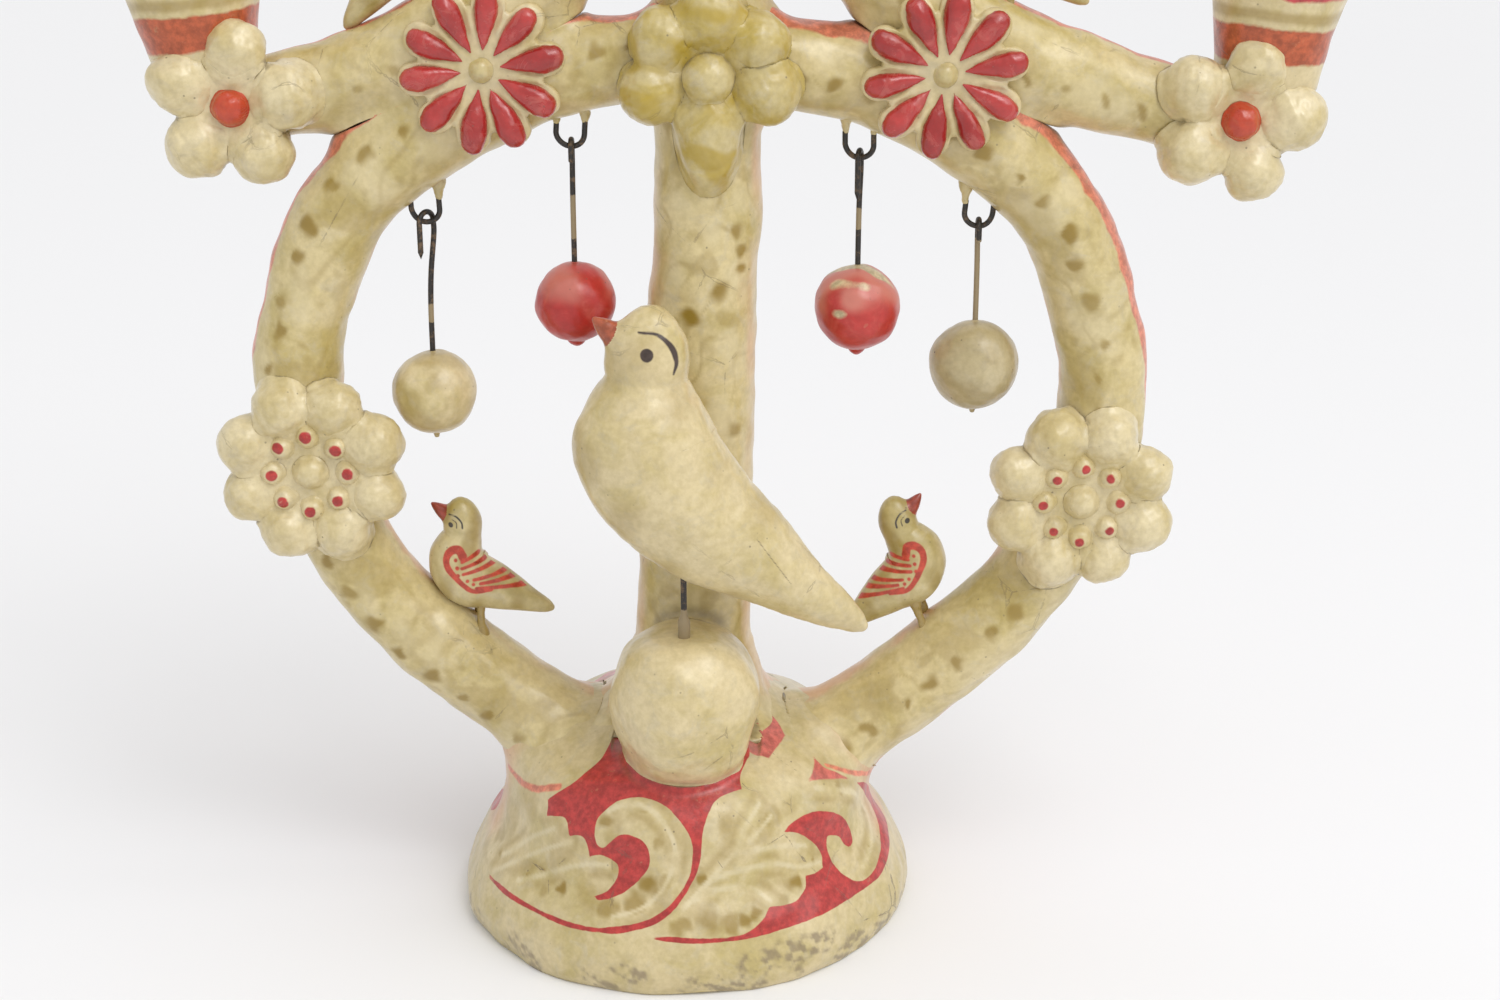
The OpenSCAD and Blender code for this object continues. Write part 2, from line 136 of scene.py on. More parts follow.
def curve(knots, count):
    """Smooth curve through the knots: each stretch is the cubic of its ends and their neighbours."""
    p = np.asarray(knots, float)
    p = np.vstack([2 * p[0] - p[1], p, 2 * p[-1] - p[-2]])
    s = np.linspace(0, len(p) - 3, count)
    i = np.minimum(s.astype(int), len(p) - 4)
    t = (s - i)[:, None]
    a, b, c, d = p[i], p[i + 1], p[i + 2], p[i + 3]
    square = (2 * a - 5 * b + 4 * c - d) * t**2
    cube = (3 * b - a - 3 * c + d) * t**3
    return 0.5 * (2 * b + (c - a) * t + square + cube)


def run_length(points):
    """Length along a line of points, from its start, in its first two columns."""
    step = np.hypot(*np.diff(points[:, :2], axis=0).T)
    return np.concatenate([[0], np.cumsum(step)])


def even(points, spacing):
    """The same line with its points at one spacing."""
    run = run_length(points)
    count = max(int(run[-1] / spacing), 8) + 1
    at = np.linspace(0, run[-1], count)
    return np.stack([np.interp(at, run, column) for column in points.T], 1)


def rounded_ends(path, bulge=1.0):
    """A path of [x, z, radius] with four more rings at each end, a half round drawn in by bulge."""
    turn = np.radians([88, 66, 44, 22])
    first, last = path[0], path[-1]
    way_in = (path[1] - path[0])[:2]
    way_out = (path[-1] - path[-2])[:2]
    way_in /= np.hypot(*way_in)
    way_out /= np.hypot(*way_out)
    start = [[*(first[:2] - way_in * bulge * first[2] * np.sin(t)), first[2] * np.cos(t)] for t in turn]
    end = [[*(last[:2] + way_out * bulge * last[2] * np.sin(t)), last[2] * np.cos(t)] for t in turn[::-1]]
    return np.vstack([start, path, end])


HEART = [
    [0.27, -0.035, 1.1], [0.40, 0, 1.1], [0.64, 0.11, 1.06], [0.80, 0.20, 1.02],
    [0.91, 0.30, 1], [0.98, 0.39, 1], [1.005, 0.49, 1], [1, 0.60, 1], [0.965, 0.68, 1],
    [0.915, 0.755, 1], [0.83, 0.83, 1], [0.71, 0.888, 1], [0.56, 0.94, 0.98],
    [0.37, 0.99, 0.96], [0.20, 1.01, 0.96], [0.04, 1.02, 0.96],
]
ARM = [
    [0.05, 0.97, 1.1], [0.10, 0.886, 1.14], [0.22, 0.69, 1.17], [0.32, 0.50, 1.18],
    [0.425, 0.34, 1.18], [0.54, 0.22, 1.17], [0.68, 0.108, 1.1], [0.83, 0.017, 1.02],
    [0.93, -0.015, 1], [0.988, 0.05, 1.05], [1, 0.15, 1.1],
]
HEART_MIDDLE_Z = 210


def heart_knots(side, node):
    """Knots [x, z, radius] of one side of the heart, from the root to the trunk."""
    x = trunk_x(HEART_MIDDLE_Z)
    low, high = box(node)
    outmost = high[0] if side > 0 else low[0]
    share = curve(HEART, 600)[:, 0].max()
    reach = (abs(outmost - x) - BRANCH_R) / share
    return np.array([[x + side * reach * a, root_z + (arch_z - root_z) * b, BRANCH_R * c] for a, b,
                     c in HEART])


def arm_knots(side, cup):
    """Knots [x, z, radius] of one arm, from the trunk to the candle cup's foot."""
    place, axis = socket(cup)
    foot = place - SOCKET_OVER_FOOT * axis + [0, 0, CUP_SINK]
    x = trunk_x(arch_z)
    reach = abs(foot[0] - x)
    end = ARM[-1][1]
    drop = (arch_z + end * ARM_RISE - foot[2]) / (1 - end)
    bottom = arch_z - drop
    return np.array([[x + side * reach * a, bottom + (ARM_RISE + drop) * b, ARM_R * c] for a, b, c in ARM])


heart_left = heart_knots(-1, "heart_branch_left")
heart_right = heart_knots(1, "heart_branch_right")
arm_left = arm_knots(-1, "candle_socket_left")
arm_right = arm_knots(1, "candle_socket_right")


# ---- unevenness -----------------------------------------------------------------------


def wander(p, wave, seed, waves=8):
    """Slow unevenness, about -1 to 1: the sum of a few sine waves in seeded random directions."""
    rng = np.random.default_rng(seed)
    ways = rng.normal(size=(waves, 3))
    ways /= np.linalg.norm(ways, axis=1)[:, None]
    pitch = wave * rng.uniform(0.7, 1.5, waves)
    phase = rng.uniform(0, 2 * np.pi, waves)
    return np.sin(2 * np.pi * (p @ (ways / pitch[:, None]).T) + phase).sum(-1) / waves**0.5 / 1.2


# ---- distances to the clay ------------------------------------------------------------

CHUNK = 24000


def measured(distance):
    """Lets a distance that works on a list of points take any grid of points, a part at a time."""

    def field(p):
        flat = p.reshape(-1, 3)
        parts = [distance(flat[i : i + CHUNK]) for i in range(0, len(flat), CHUNK)]
        return np.concatenate(parts).reshape(p.shape[:-1])

    return field


def rod_field(path, y=0.0, wide=1.0):
    """Distance to a rod: to the nearest of its straight stretches, less the radius there."""
    a, run = path[:-1], np.diff(path, axis=0)
    square = (run[:, :2] ** 2).sum(1)

    def distance(p):
        off = p[:, None, [0, 2]] - a[None, :, :2]
        t = np.clip((off * run[:, :2]).sum(2) / square, 0, 1)
        gap = off - t[:, :, None] * run[:, :2]
        across = ((p[:, 1] - y) / wide)[:, None]
        return (np.sqrt((gap**2).sum(2) + across**2) - a[:, 2] - t * run[:, 2]).min(1)

    return measured(distance)


def turned_field(outline, foot, lean=0.0):
    """Distance to a turned piece: to its outline of [radius, height], below zero inside it."""
    a, run = outline[:-1], np.diff(outline, axis=0)
    square = (run**2).sum(1)

    def distance(p):
        x = p[:, 0] - foot[0] - lean * (p[:, 2] - foot[2])
        q = np.stack([np.hypot(x, p[:, 1] - foot[1]), p[:, 2] - foot[2]], 1)
        off = q[:, None] - a[None]
        t = np.clip((off * run).sum(2) / square, 0, 1)
        gap = np.sqrt(((off - t[:, :, None] * run) ** 2).sum(2)).min(1)
        reach = np.interp(q[:, 1], outline[:, 1], outline[:, 0], left=-1, right=-1)
        return np.where(q[:, 0] < reach, -gap, gap)

    return measured(distance)


def balls_field(centres, radius):
    """Distance to a set of balls of one radius."""
    centres = np.atleast_2d(np.asarray(centres, float))

    def distance(p):
        return np.sqrt(((p[:, None] - centres) ** 2).sum(2)).min(1) - radius

    return measured(distance)


def puck_field(radius, low, high, soft=1.2):
    """Distance to a round plate between two heights of its own z, with soft edges."""
    half, mid = (high - low) / 2 - soft, (high + low) / 2

    def field(p):
        out = np.hypot(p[..., 0], p[..., 1]) - radius + soft
        up = np.abs(p[..., 2] - mid) - half
        return np.hypot(np.maximum(out, 0), np.maximum(up, 0)) + np.minimum(np.maximum(out, up), 0) - soft

    return field


def nearest(*fields):
    return lambda p: np.minimum.reduce([f(p) for f in fields])


def placed(field, origin, turn):
    """A field made in a piece's own axes, where turn's columns are those axes."""
    return lambda p: field((p - origin) @ turn)


def soft_min(a, b, fillet):
    """The lesser of two distances, rounded where they are within one fillet of each other."""
    near = np.maximum(fillet - np.abs(a - b), 0) / fillet
    return np.minimum(a, b) - near * near * fillet / 4


def slope(field, p, at):
    """Gradient of a field by small steps."""
    step = 0.05
    return np.stack([(field(p + step * axis) - at) / step for axis in np.eye(3)], -1)


def settle(p, own, others, fillet, sink=0.5):
    """Moves the points of one surface onto the rounded joint with its neighbours.

    A point goes along the gradient of soft_min until that is zero. Past the middle of the joint,
    where a neighbour is nearer, it goes sink deeper, so that only one surface shows.
    """

    def level(q):
        a, b = own(q), others(q)
        return soft_min(a, b, fillet) + sink * ease((a - b) / (0.35 * fillet + 1))

    b = others(p)
    blend = ease((1.5 * fillet - b) / (0.4 * fillet)) * ease((b + fillet) / (0.4 * fillet))
    near = blend > 0.001
    q, share = p[near], blend[near][:, None]
    for _ in range(4):
        at = level(q)
        way = slope(level, q, at)
        size = np.maximum((way**2).sum(-1), 0.3)
        step = np.clip(at / size, -0.3 * fillet, 0.3 * fillet)
        q = q - share * step[:, None] * way
    moved = p.copy()
    moved[near] = q
    return moved


def drawn_to(p, own):
    """Brings every point onto the surface of its own distance, which undoes folds at tight bends."""
    for _ in range(4):
        at = own(p)
        p = p - np.clip(at, -3, 3)[..., None] * slope(own, p, at)
    return p


def hollowness(p, n, clay, reach=7.0):
    """0 in the open and up to 1 in a crease: how much nearer the clay is than reach, along n. It is the
    occlusion that the materials paint as shade.
    """
    return np.clip(1 - clay(p + reach * n) / reach, 0, 1)


# ---- grids ----------------------------------------------------------------------------


def grid_normals(p):
    """Unit normals of a grid that closes round its second parameter."""
    along = np.gradient(p, axis=0)
    round_ = np.roll(p, -1, 1) - np.roll(p, 1, 1)
    n = np.cross(along, round_)
    n /= np.maximum(np.linalg.norm(n, axis=2, keepdims=True), 1e-9)
    n[0] = n[1].mean(0) / max(np.linalg.norm(n[1].mean(0)), 1e-9)
    n[-1] = n[-2].mean(0) / max(np.linalg.norm(n[-2].mean(0)), 1e-9)
    return n if enclosed(p) > 0 else -n


def enclosed(p):
    """Volume inside a grid that is closed by a pole at each end, above zero if along x round points out."""
    a, b, c, d = p[:-1], p[1:], np.roll(p[1:], -1, 1), np.roll(p[:-1], -1, 1)
    return (np.cross(a, b) * c).sum() + (np.cross(a, c) * d).sum()


def handmade(p, amount, wave=30.0, seed=3):
    """Hand-formed unevenness: every point goes along its normal by a slow and a quick wander."""
    flat = p.reshape(-1, 3)
    lump = wander(flat, wave, seed) + 0.28 * wander(flat, wave * 0.3, seed + 1)
    return p + amount * lump.reshape(p.shape[:2])[..., None] * grid_normals(p)


def rod_grid(path, spacing, y=0.0, wide=1.0, outer=1, front=0.0, bulge=1.0):
    """A rod along a path of [x, z, radius] in the plane of X and Z.

    Returns its points, the length along it, and the angle round it from the front, which is
    positive towards the outer side. front crowds the columns towards the front.
    """
    path = rounded_ends(even(path, spacing), bulge)
    heading = np.gradient(path[:, :2], axis=0)
    heading /= np.hypot(*heading.T)[:, None]
    count = max(int(2 * np.pi * path[:, 2].max() / spacing), 16)
    t = np.linspace(-np.pi, np.pi, count, endpoint=False)
    angle = t - front * np.sin(t)
    across = np.stack([-heading[:, 1], heading[:, 0]], 1) * outer
    r = path[:, 2][:, None]
    x = path[:, 0][:, None] + across[:, 0][:, None] * r * np.sin(angle)
    z = path[:, 1][:, None] + across[:, 1][:, None] * r * np.sin(angle)
    depth = y - wide * r * np.cos(angle)
    run = run_length(path)[:, None] + 0 * angle
    return np.stack([x, depth, z], 2), run, angle + 0 * r


def turned_grid(outline, spacing, foot, lean=0.0, front=0.0, count=None):
    """A turned piece: its outline of [radius, height] carried round, with height leaning to +X.

    Returns its points, the length along the outline, and the angle from the front, positive
    towards +X. front crowds the columns towards the front.
    """
    count = count or max(int(2 * np.pi * outline[:, 0].max() / spacing), 24)
    t = np.linspace(-np.pi, np.pi, count, endpoint=False)
    angle = t - front * np.sin(t)
    r, z = outline[:, 0][:, None], outline[:, 1][:, None]
    x = foot[0] + r * np.sin(angle) + lean * z
    y = foot[1] - r * np.cos(angle)
    run = run_length(outline)[:, None] + 0 * angle
    return np.stack([x, y, foot[2] + z + 0 * angle], 2), run, angle + 0 * r


def ball_grid(centre, radius, spacing, axis=2):
    """A ball with its poles on one axis: latitude by longitude."""
    rows = max(int(np.pi * radius / spacing), 8)
    up = np.linspace(-np.pi / 2, np.pi / 2, rows)[:, None]
    turn = np.linspace(-np.pi, np.pi, 2 * rows, endpoint=False)
    p = np.stack([np.cos(up) * np.sin(turn), -np.cos(up) * np.cos(turn), np.sin(up) + 0 * turn], 2)
    return np.roll(p, axis - 2, 2) * radius + centre


def tube_grid(points, radius, side, sides=14):
    """A wire along points that lie in one plane, where side is the unit vector across that plane."""
    points = np.asarray(points, float)
    heading = np.gradient(points, axis=0)
    heading /= np.linalg.norm(heading, axis=1)[:, None]
    up = np.cross(heading, side)
    turn = np.linspace(0, 2 * np.pi, sides, endpoint=False)
    r = np.asarray(radius) + np.zeros(len(points))
    r[[0, -1]] *= 0.3
    return points[:, None] + r[:, None, None] * (
        np.cos(turn)[None, :, None] * up[:, None] + np.sin(turn)[None, :, None] * np.asarray(side)
    )


# ---- meshes ---------------------------------------------------------------------------


def corners(rows, columns):
    """Corner numbers of a grid whose first and last rows are each one point."""
    index = 1 + np.arange((rows - 2) * columns).reshape(rows - 2, columns)
    after = np.roll(index, -1, 1)
    last = (rows - 2) * columns + 1
    quads = np.stack([index[:-1], index[1:], after[1:], after[:-1]], 2).reshape(-1, 4)
    start = np.stack([np.zeros(columns, int), index[0], after[0]], 1)
    end = np.stack([index[-1], np.full(columns, last), after[-1]], 1)
    return quads, np.vstack([start, end]), last + 1


def gathered(values):
    """A grid of values as a list, with the first and the last row each one value."""
    inner = values[1:-1].reshape(-1, *values.shape[2:])
    return np.concatenate([values[:1].mean(1), inner, values[-1:].mean(1)])


def piece(name, skins, material, slot, nodes, body=TREE):
    """One object from skins of (points, {attribute: values}), which rides on a body."""
    spots, quads, tris, first = [], [], [], 0
    names = sorted({key for _, paint in skins for key in paint} | READS[material.name])
    paints = {key: [] for key in names}
    for p, paint in skins:
        four, three, count = corners(*p.shape[:2])
        if enclosed(p) < 0:
            four, three = four[:, ::-1], three[:, ::-1]
        spots.append(gathered(p))
        quads.append(four + first)
        tris.append(three + first)
        for key in names:
            value = paint.get(key, UNPAINTED.get(key, 0.0)) + np.zeros(p.shape[:2])
            paints[key].append(gathered(value))
        first += count
    spots, quads, tris = np.concatenate(spots), np.concatenate(quads), np.concatenate(tris)
    mesh = bpy.data.meshes.new(name)
    mesh.vertices.add(len(spots))
    mesh.vertices.foreach_set("co", (spots * MM).astype(np.float32).ravel())
    mesh.loops.add(quads.size + tris.size)
    mesh.loops.foreach_set("vertex_index", np.concatenate([quads.ravel(), tris.ravel()]).astype(np.int32))
    starts = np.concatenate([4 * np.arange(len(quads)), quads.size + 3 * np.arange(len(tris))])
    mesh.polygons.add(len(starts))
    mesh.polygons.foreach_set("loop_start", starts.astype(np.int32))
    mesh.polygons.foreach_set("use_smooth", np.ones(len(starts), bool))
    mesh.update(calc_edges=True)
    mesh.validate()
    for key in names:
        layer = mesh.attributes.new(key, "FLOAT", "POINT")
        layer.data.foreach_set("value", np.concatenate(paints[key]).astype(np.float32))
    mesh.materials.append(material)
    made = bpy.data.objects.new(name, mesh)
    bpy.context.scene.collection.objects.link(made)
    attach(made, body)
    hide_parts(*nodes)
    return made


# Values of an attribute where a skin says nothing: far outside any painted shape
UNPAINTED = {"red": 9.0, "pink": 9.0, "orange": 9.0, "dark": 9.0, "beak": 9.0, "chip": 9.0}
# The attributes that each material reads
READS = {}


# ---- painted shapes -------------------------------------------------------------------


def stroke(x, y, points, width):
    """Distance to a brush stroke along points, whose half width goes from width[0] to width[1]."""
    points = np.asarray(points, float)
    a, run = points[:-1], np.diff(points, axis=0)
    share = run_length(points) / run_length(points)[-1]
    best = np.full(x.shape, 99.0)
    for i in range(len(a)):
        dx, dy = x - a[i, 0], y - a[i, 1]
        t = np.clip((dx * run[i, 0] + dy * run[i, 1]) / (run[i] ** 2).sum(), 0, 1)
        half = width[0] + (width[1] - width[0]) * (share[i] + t * (share[i + 1] - share[i]))
        best = np.minimum(best, np.hypot(dx - t * run[i, 0], dy - t * run[i, 1]) - half)
    return best


def loop(points, steps=3):
    """Smooth closed outline through points; a point given twice is a corner."""
    p = np.asarray(points, float)
    around = np.vstack([p[-2:], p, p[:3]])
    return curve(around, steps * (len(around) - 1) + 1)[2 * steps : steps * (2 + len(p))]


def filled(x, y, points):
    """Distance to the outline of a filled shape, below zero inside it."""
    points = np.asarray(points, float)
    a, b = points, np.roll(points, -1, 0)
    best = np.full(x.shape, 99.0)
    inside = np.zeros(x.shape, bool)
    for (ax, ay), (bx, by) in zip(a, b):
        rx, ry = bx - ax, by - ay
        t = np.clip(((x - ax) * rx + (y - ay) * ry) / (rx * rx + ry * ry + 1e-9), 0, 1)
        best = np.minimum(best, np.hypot(x - ax - t * rx, y - ay - t * ry))
        if ry != 0:
            inside ^= ((ay > y) != (by > y)) & (x < ax + rx * (y - ay) / ry)
    return np.where(inside, -best, best)


def shifted(x, y, p, amount, wave, seed):
    """The same places moved a little, so that what is drawn on them looks drawn by hand."""
    flat = p.reshape(-1, 3)
    return (
        x + amount * wander(flat, wave, seed).reshape(x.shape),
        y + amount * wander(flat, wave, seed + 9).reshape(x.shape),
    )


def spots(x, y, places):
    """Soft brush dabs: each of [x, y, radius, strength] fades from its middle to its edge."""
    strength = np.zeros(x.shape)
    for px, py, radius, amount in places:
        strength = np.maximum(strength, amount * ease(1.5 - np.hypot(x - px, y - py) / radius))
    return strength


# ---- materials ------------------------------------------------------------------------


class Graph:
    """Adds and links the nodes of one material or node group."""

    def __init__(self, tree):
        self.tree = tree

    def add(self, kind, inputs=(), **settings):
        node = self.tree.nodes.new(kind)
        for key, value in settings.items():
            setattr(node, key, value)
        for key, value in dict(inputs).items():
            if isinstance(value, bpy.types.NodeSocket):
                self.tree.links.new(value, node.inputs[key])
            else:
                node.inputs[key].default_value = value
        return node

    def maths(self, operation, a, b=0.0, clamp=False):
        return self.add("ShaderNodeMath", {0: a, 1: b}, operation=operation, use_clamp=clamp).outputs[0]

    def steps(self, value, low, high):
        """0 at low and 1 at high, eased between."""
        return self.add(
            "ShaderNodeMapRange",
            {"Value": value, "From Min": low, "From Max": high},
            interpolation_type="SMOOTHSTEP",
        ).outputs["Result"]

    def mix(self, share, a, b, blend="MIX"):
        node = self.add("ShaderNodeMix", {0: share}, data_type="RGBA", blend_type=blend)
        for socket, value in ((node.inputs[6], a), (node.inputs[7], b)):
            if isinstance(value, bpy.types.NodeSocket):
                self.tree.links.new(value, socket)
            else:
                socket.default_value = (*value, 1)
        return node.outputs[2]

    def noise(self, place, scale, detail=3.0, roughness=0.55, distortion=0.0):
        return self.add(
            "ShaderNodeTexNoise",
            {
                "Vector": place,
                "Scale": scale,
                "Detail": detail,
                "Roughness": roughness,
                "Distortion": distortion,
            },
        ).outputs["Fac"]


def effect(name, inputs, outputs):
    """A node group with named inputs and outputs, and its graph."""
    tree = bpy.data.node_groups.new(name, "ShaderNodeTree")
    for key, kind, default in inputs:
        made = tree.interface.new_socket(key, in_out="INPUT", socket_type=kind)
        if default is not None:
            made.default_value = default
    for key, kind in outputs:
        tree.interface.new_socket(key, in_out="OUTPUT", socket_type=kind)
    graph = Graph(tree)
    return tree, graph, graph.add("NodeGroupInput").outputs, graph.add("NodeGroupOutput").inputs


FLOAT, COLOUR, VECTOR = "NodeSocketFloat", "NodeSocketColor", "NodeSocketVector"


def aged_ground():
    """Old varnish over cream paint: three tints drifting into each other, and fine mottling."""
    tree, g, given, out = effect(
        "Aged ground",
        [
            ("Place", VECTOR, None),
            ("Light", COLOUR, (0.7, 0.6, 0.35, 1)),
            ("Olive", COLOUR, (0.5, 0.43, 0.18, 1)),
            ("Grey", COLOUR, (0.5, 0.45, 0.32, 1)),
            ("Olive Share", FLOAT, 0.5),
        ],
        [("Colour", COLOUR), ("Cloud", FLOAT)],
    )
    broad = g.noise(given["Place"], 46.0, 4.0, 0.6, 0.5)
    cloud = g.noise(given["Place"], 130.0, 5.0, 0.66, 0.8)
    fine = g.noise(given["Place"], 380.0, 4.0, 0.6)
    shift = g.maths("MULTIPLY_ADD", given["Olive Share"], 0.34)
    shift.node.inputs[2].default_value = -0.17
    olive = g.steps(g.maths("ADD", broad, shift), 0.38, 0.70)
    grey = g.steps(cloud, 0.48, 0.72)
    tint = g.mix(olive, given["Light"], given["Olive"])
    tint = g.mix(g.maths("MULTIPLY", grey, 0.5), tint, given["Grey"])
    shade = g.steps(fine, 0.2, 0.8)
    darker = g.mix(1.0, tint, (0.86, 0.845, 0.80), "MULTIPLY")
    lighter = g.mix(1.0, tint, (1.05, 1.05, 1.06), "MULTIPLY")
    tree.links.new(g.mix(shade, darker, lighter), out["Colour"])
    tree.links.new(cloud, out["Cloud"])
    return tree


def brushed_edge():
    """Share of a painted shape: full inside its edge, which a quick and a slow wobble move."""
    tree, g, given, out = effect(
        "Brushed edge",
        [
            ("Place", VECTOR, None),
            ("Distance", FLOAT, 9.0),
            ("Wobble", FLOAT, 0.5),
            ("Softness", FLOAT, 0.35),
            ("Wear", FLOAT, 0.3),
        ],
        [("Share", FLOAT)],
    )
    slow = g.maths("SUBTRACT", g.noise(given["Place"], 260.0, 2.0), 0.5)
    moved = g.maths("ADD", given["Distance"], g.maths("MULTIPLY", slow,
                                                      g.maths("MULTIPLY", given["Wobble"], 4.0)))
    soft = given["Softness"]
    edge = g.maths("SUBTRACT", 0.5, g.maths("DIVIDE", moved, g.maths("MULTIPLY", soft, 2.0)), clamp=True)
    rubbed = g.steps(g.noise(given["Place"], 190.0, 5.0, 0.7), 0.60, 0.78)
    keep = g.maths("SUBTRACT", 1.0, g.maths("MULTIPLY", rubbed, given["Wear"]), clamp=True)
    tree.links.new(g.maths("MULTIPLY", edge, keep), out["Share"])
    return tree


def crease_shade_and_grime():
    """Painted shade: brown darkening in creases and hollows, broken into dusty patches, and dark specks in
    the varnish.
    """
    tree, g, given, out = effect(
        "Crease shade and grime",
        [
            ("Place", VECTOR, None),
            ("Colour", COLOUR, (0.7, 0.6, 0.35, 1)),
            ("Crease", FLOAT, 0.0),
            ("Specks", FLOAT, 0.5),
        ],
        [("Colour", COLOUR), ("Speck", FLOAT)],
    )
    patch = g.noise(given["Place"], 150.0, 4.0, 0.65)
    # Painted shade in creases and hollows, in patches, mixed towards a dust brown
    deep = g.maths("MULTIPLY", g.steps(given["Crease"], 0.30, 0.95), g.steps(patch, 0.1, 0.7))
    shade_and_dust = g.mix(g.maths("MULTIPLY", deep, 0.75), given["Colour"], (0.20, 0.155, 0.09))
    cells = g.add("ShaderNodeTexVoronoi", {"Vector": given["Place"], "Scale": 330.0, "Randomness": 1.0})
    small = g.maths("SUBTRACT", 1.0, g.steps(cells.outputs["Distance"], 0.07, 0.17))
    rare = g.steps(g.add("ShaderNodeSeparateColor", {0: cells.outputs["Color"]}).outputs[0], 0.80, 0.86)
    where = g.steps(g.noise(given["Place"], 60.0, 2.0), 0.42, 0.62)
    speck = g.maths("MULTIPLY", g.maths("MULTIPLY", small, rare), where)
    speck = g.maths("MULTIPLY", speck, given["Specks"], clamp=True)
    tree.links.new(g.mix(speck, shade_and_dust, (0.10, 0.075, 0.05)), out["Colour"])
    tree.links.new(speck, out["Speck"])
    return tree


def hand_relief():
    """Height of the surface, -1 to 1: finger marks, brush marks, pits and fine cracks."""
    tree, g, given, out = effect(
        "Hand relief",
        [("Place", VECTOR, None), ("Cracks", FLOAT, 0.5)],
        [("Height", FLOAT), ("Crack", FLOAT)],
    )
    marks = g.noise(given["Place"], 130.0, 3.0, 0.5, 0.3)
    brush = g.noise(given["Place"], 700.0, 2.0, 0.5)
    cells = g.add(
        "ShaderNodeTexVoronoi",
        {"Vector": given["Place"], "Scale": 38.0, "Randomness": 1.0},
        feature="DISTANCE_TO_EDGE",
    )
    bent = g.noise(given["Place"], 120.0, 4.0, 0.7)
    line = g.maths("ADD", cells.outputs["Distance"], g.maths("MULTIPLY", g.maths("SUBTRACT", bent, 0.5),
                                                             0.12))
    thin = g.maths("SUBTRACT", 1.0, g.steps(g.maths("ABSOLUTE", line), 0.0, 0.010))
    some = g.steps(g.noise(given["Place"], 22.0, 2.0), 0.56, 0.64)
    crack = g.maths("MULTIPLY", g.maths("MULTIPLY", thin, some), given["Cracks"], clamp=True)
    height = g.maths("ADD", g.maths("MULTIPLY", marks, 1.0), g.maths("MULTIPLY", brush, 0.16))
    tree.links.new(g.maths("SUBTRACT", height, g.maths("MULTIPLY", crack, 0.6)), out["Height"])
    tree.links.new(crack, out["Crack"])
    return tree


GROUPS = {"ground": aged_ground(), "edge": brushed_edge(), "crease_shade_and_grime": crease_shade_and_grime(), "relief": hand_relief()}

CREAM = (0.68, 0.565, 0.325)
OLIVE = (0.545, 0.44, 0.185)
GREY = (0.545, 0.475, 0.32)
RED = (0.46, 0.026, 0.020)
SALMON = (0.70, 0.215, 0.12)
ROSE = (0.58, 0.13, 0.10)
ORANGE = (0.47, 0.085, 0.018)
OCHRE = (0.26, 0.16, 0.006)
BROWN = (0.10, 0.062, 0.05)
INK = (0.05, 0.027, 0.018)


def painted_clay(name, light=CREAM, olive=OLIVE, grey=GREY, share=0.5, paints=(), gloss=0.34,
                 specks=0.6, cracks=0.5, relief=0.35, coat=0.35):
    """Clay under paint and old varnish. paints are (attribute, colour, softness, wobble, wear)."""
    material = bpy.data.materials.new(name)
    READS[name] = {"crease", *(paint[0] for paint in paints)}
    material.use_nodes = True
    tree = material.node_tree
    tree.nodes.clear()
    g = Graph(tree)
    place = g.add("ShaderNodeTexCoord").outputs["Object"]

    def group(key, **inputs):
        node = g.add("ShaderNodeGroup", {}, node_tree=GROUPS[key])
        for label, value in {"Place": place, **inputs}.items():
            socket = node.inputs[label.replace("_", " ")]
            if isinstance(value, bpy.types.NodeSocket):
                tree.links.new(value, socket)
            else:
                socket.default_value = (*value, 1) if isinstance(value, tuple) else value
        return node.outputs

    def attribute(key):
        return g.add("ShaderNodeAttribute", attribute_name=key).outputs["Fac"]

    ground = group("ground", Light=light, Olive=olive, Grey=grey, Olive_Share=share)
    colour = ground["Colour"]
    rough = g.maths("MULTIPLY_ADD", ground["Cloud"], 0.30)
    rough.node.inputs[2].default_value = gloss - 0.15
    for key, tint, softness, wobble, wear in paints:
        if softness is None:
            colour = g.mix(g.maths("MULTIPLY", attribute(key), wear), colour, tint)
            continue
        edge = group("edge", Distance=attribute(key), Softness=softness, Wobble=wobble, Wear=wear)
        thin = g.noise(place, 330.0, 4.0, 0.65)
        deep = g.mix(g.steps(thin, 0.30, 0.72), tuple(0.66 * c for c in tint),
                     tuple(1.16 * c + 0.012 for c in tint))
        colour = g.mix(edge["Share"], colour, deep)
    relief_of = group("relief", Cracks=cracks)
    colour = g.mix(g.maths("MULTIPLY", relief_of["Crack"], 0.8), colour, (0.10, 0.07, 0.045))
    # Painted shade in creases and joints, with grime and dark specks
    shaded_and_dirty = group("crease_shade_and_grime", Colour=colour, Crease=attribute("crease"), Specks=specks)
    bump = g.add("ShaderNodeBump", {"Strength": relief, "Distance": 0.0008, "Height": relief_of["Height"]})
    shader = g.add("ShaderNodeBsdfPrincipled", {
        "Base Color": shaded_and_dirty["Colour"],
        "Roughness": g.maths("ADD", rough, g.maths("MULTIPLY", shaded_and_dirty["Speck"], 0.25)),
        "Normal": bump.outputs[0],
    })
    shader.inputs["IOR"].default_value = 1.5
    shader.inputs["Coat Weight"].default_value = coat
    shader.inputs["Coat Roughness"].default_value = 0.16
    tree.links.new(shader.outputs[0], g.add("ShaderNodeOutputMaterial").inputs[0])
    return material


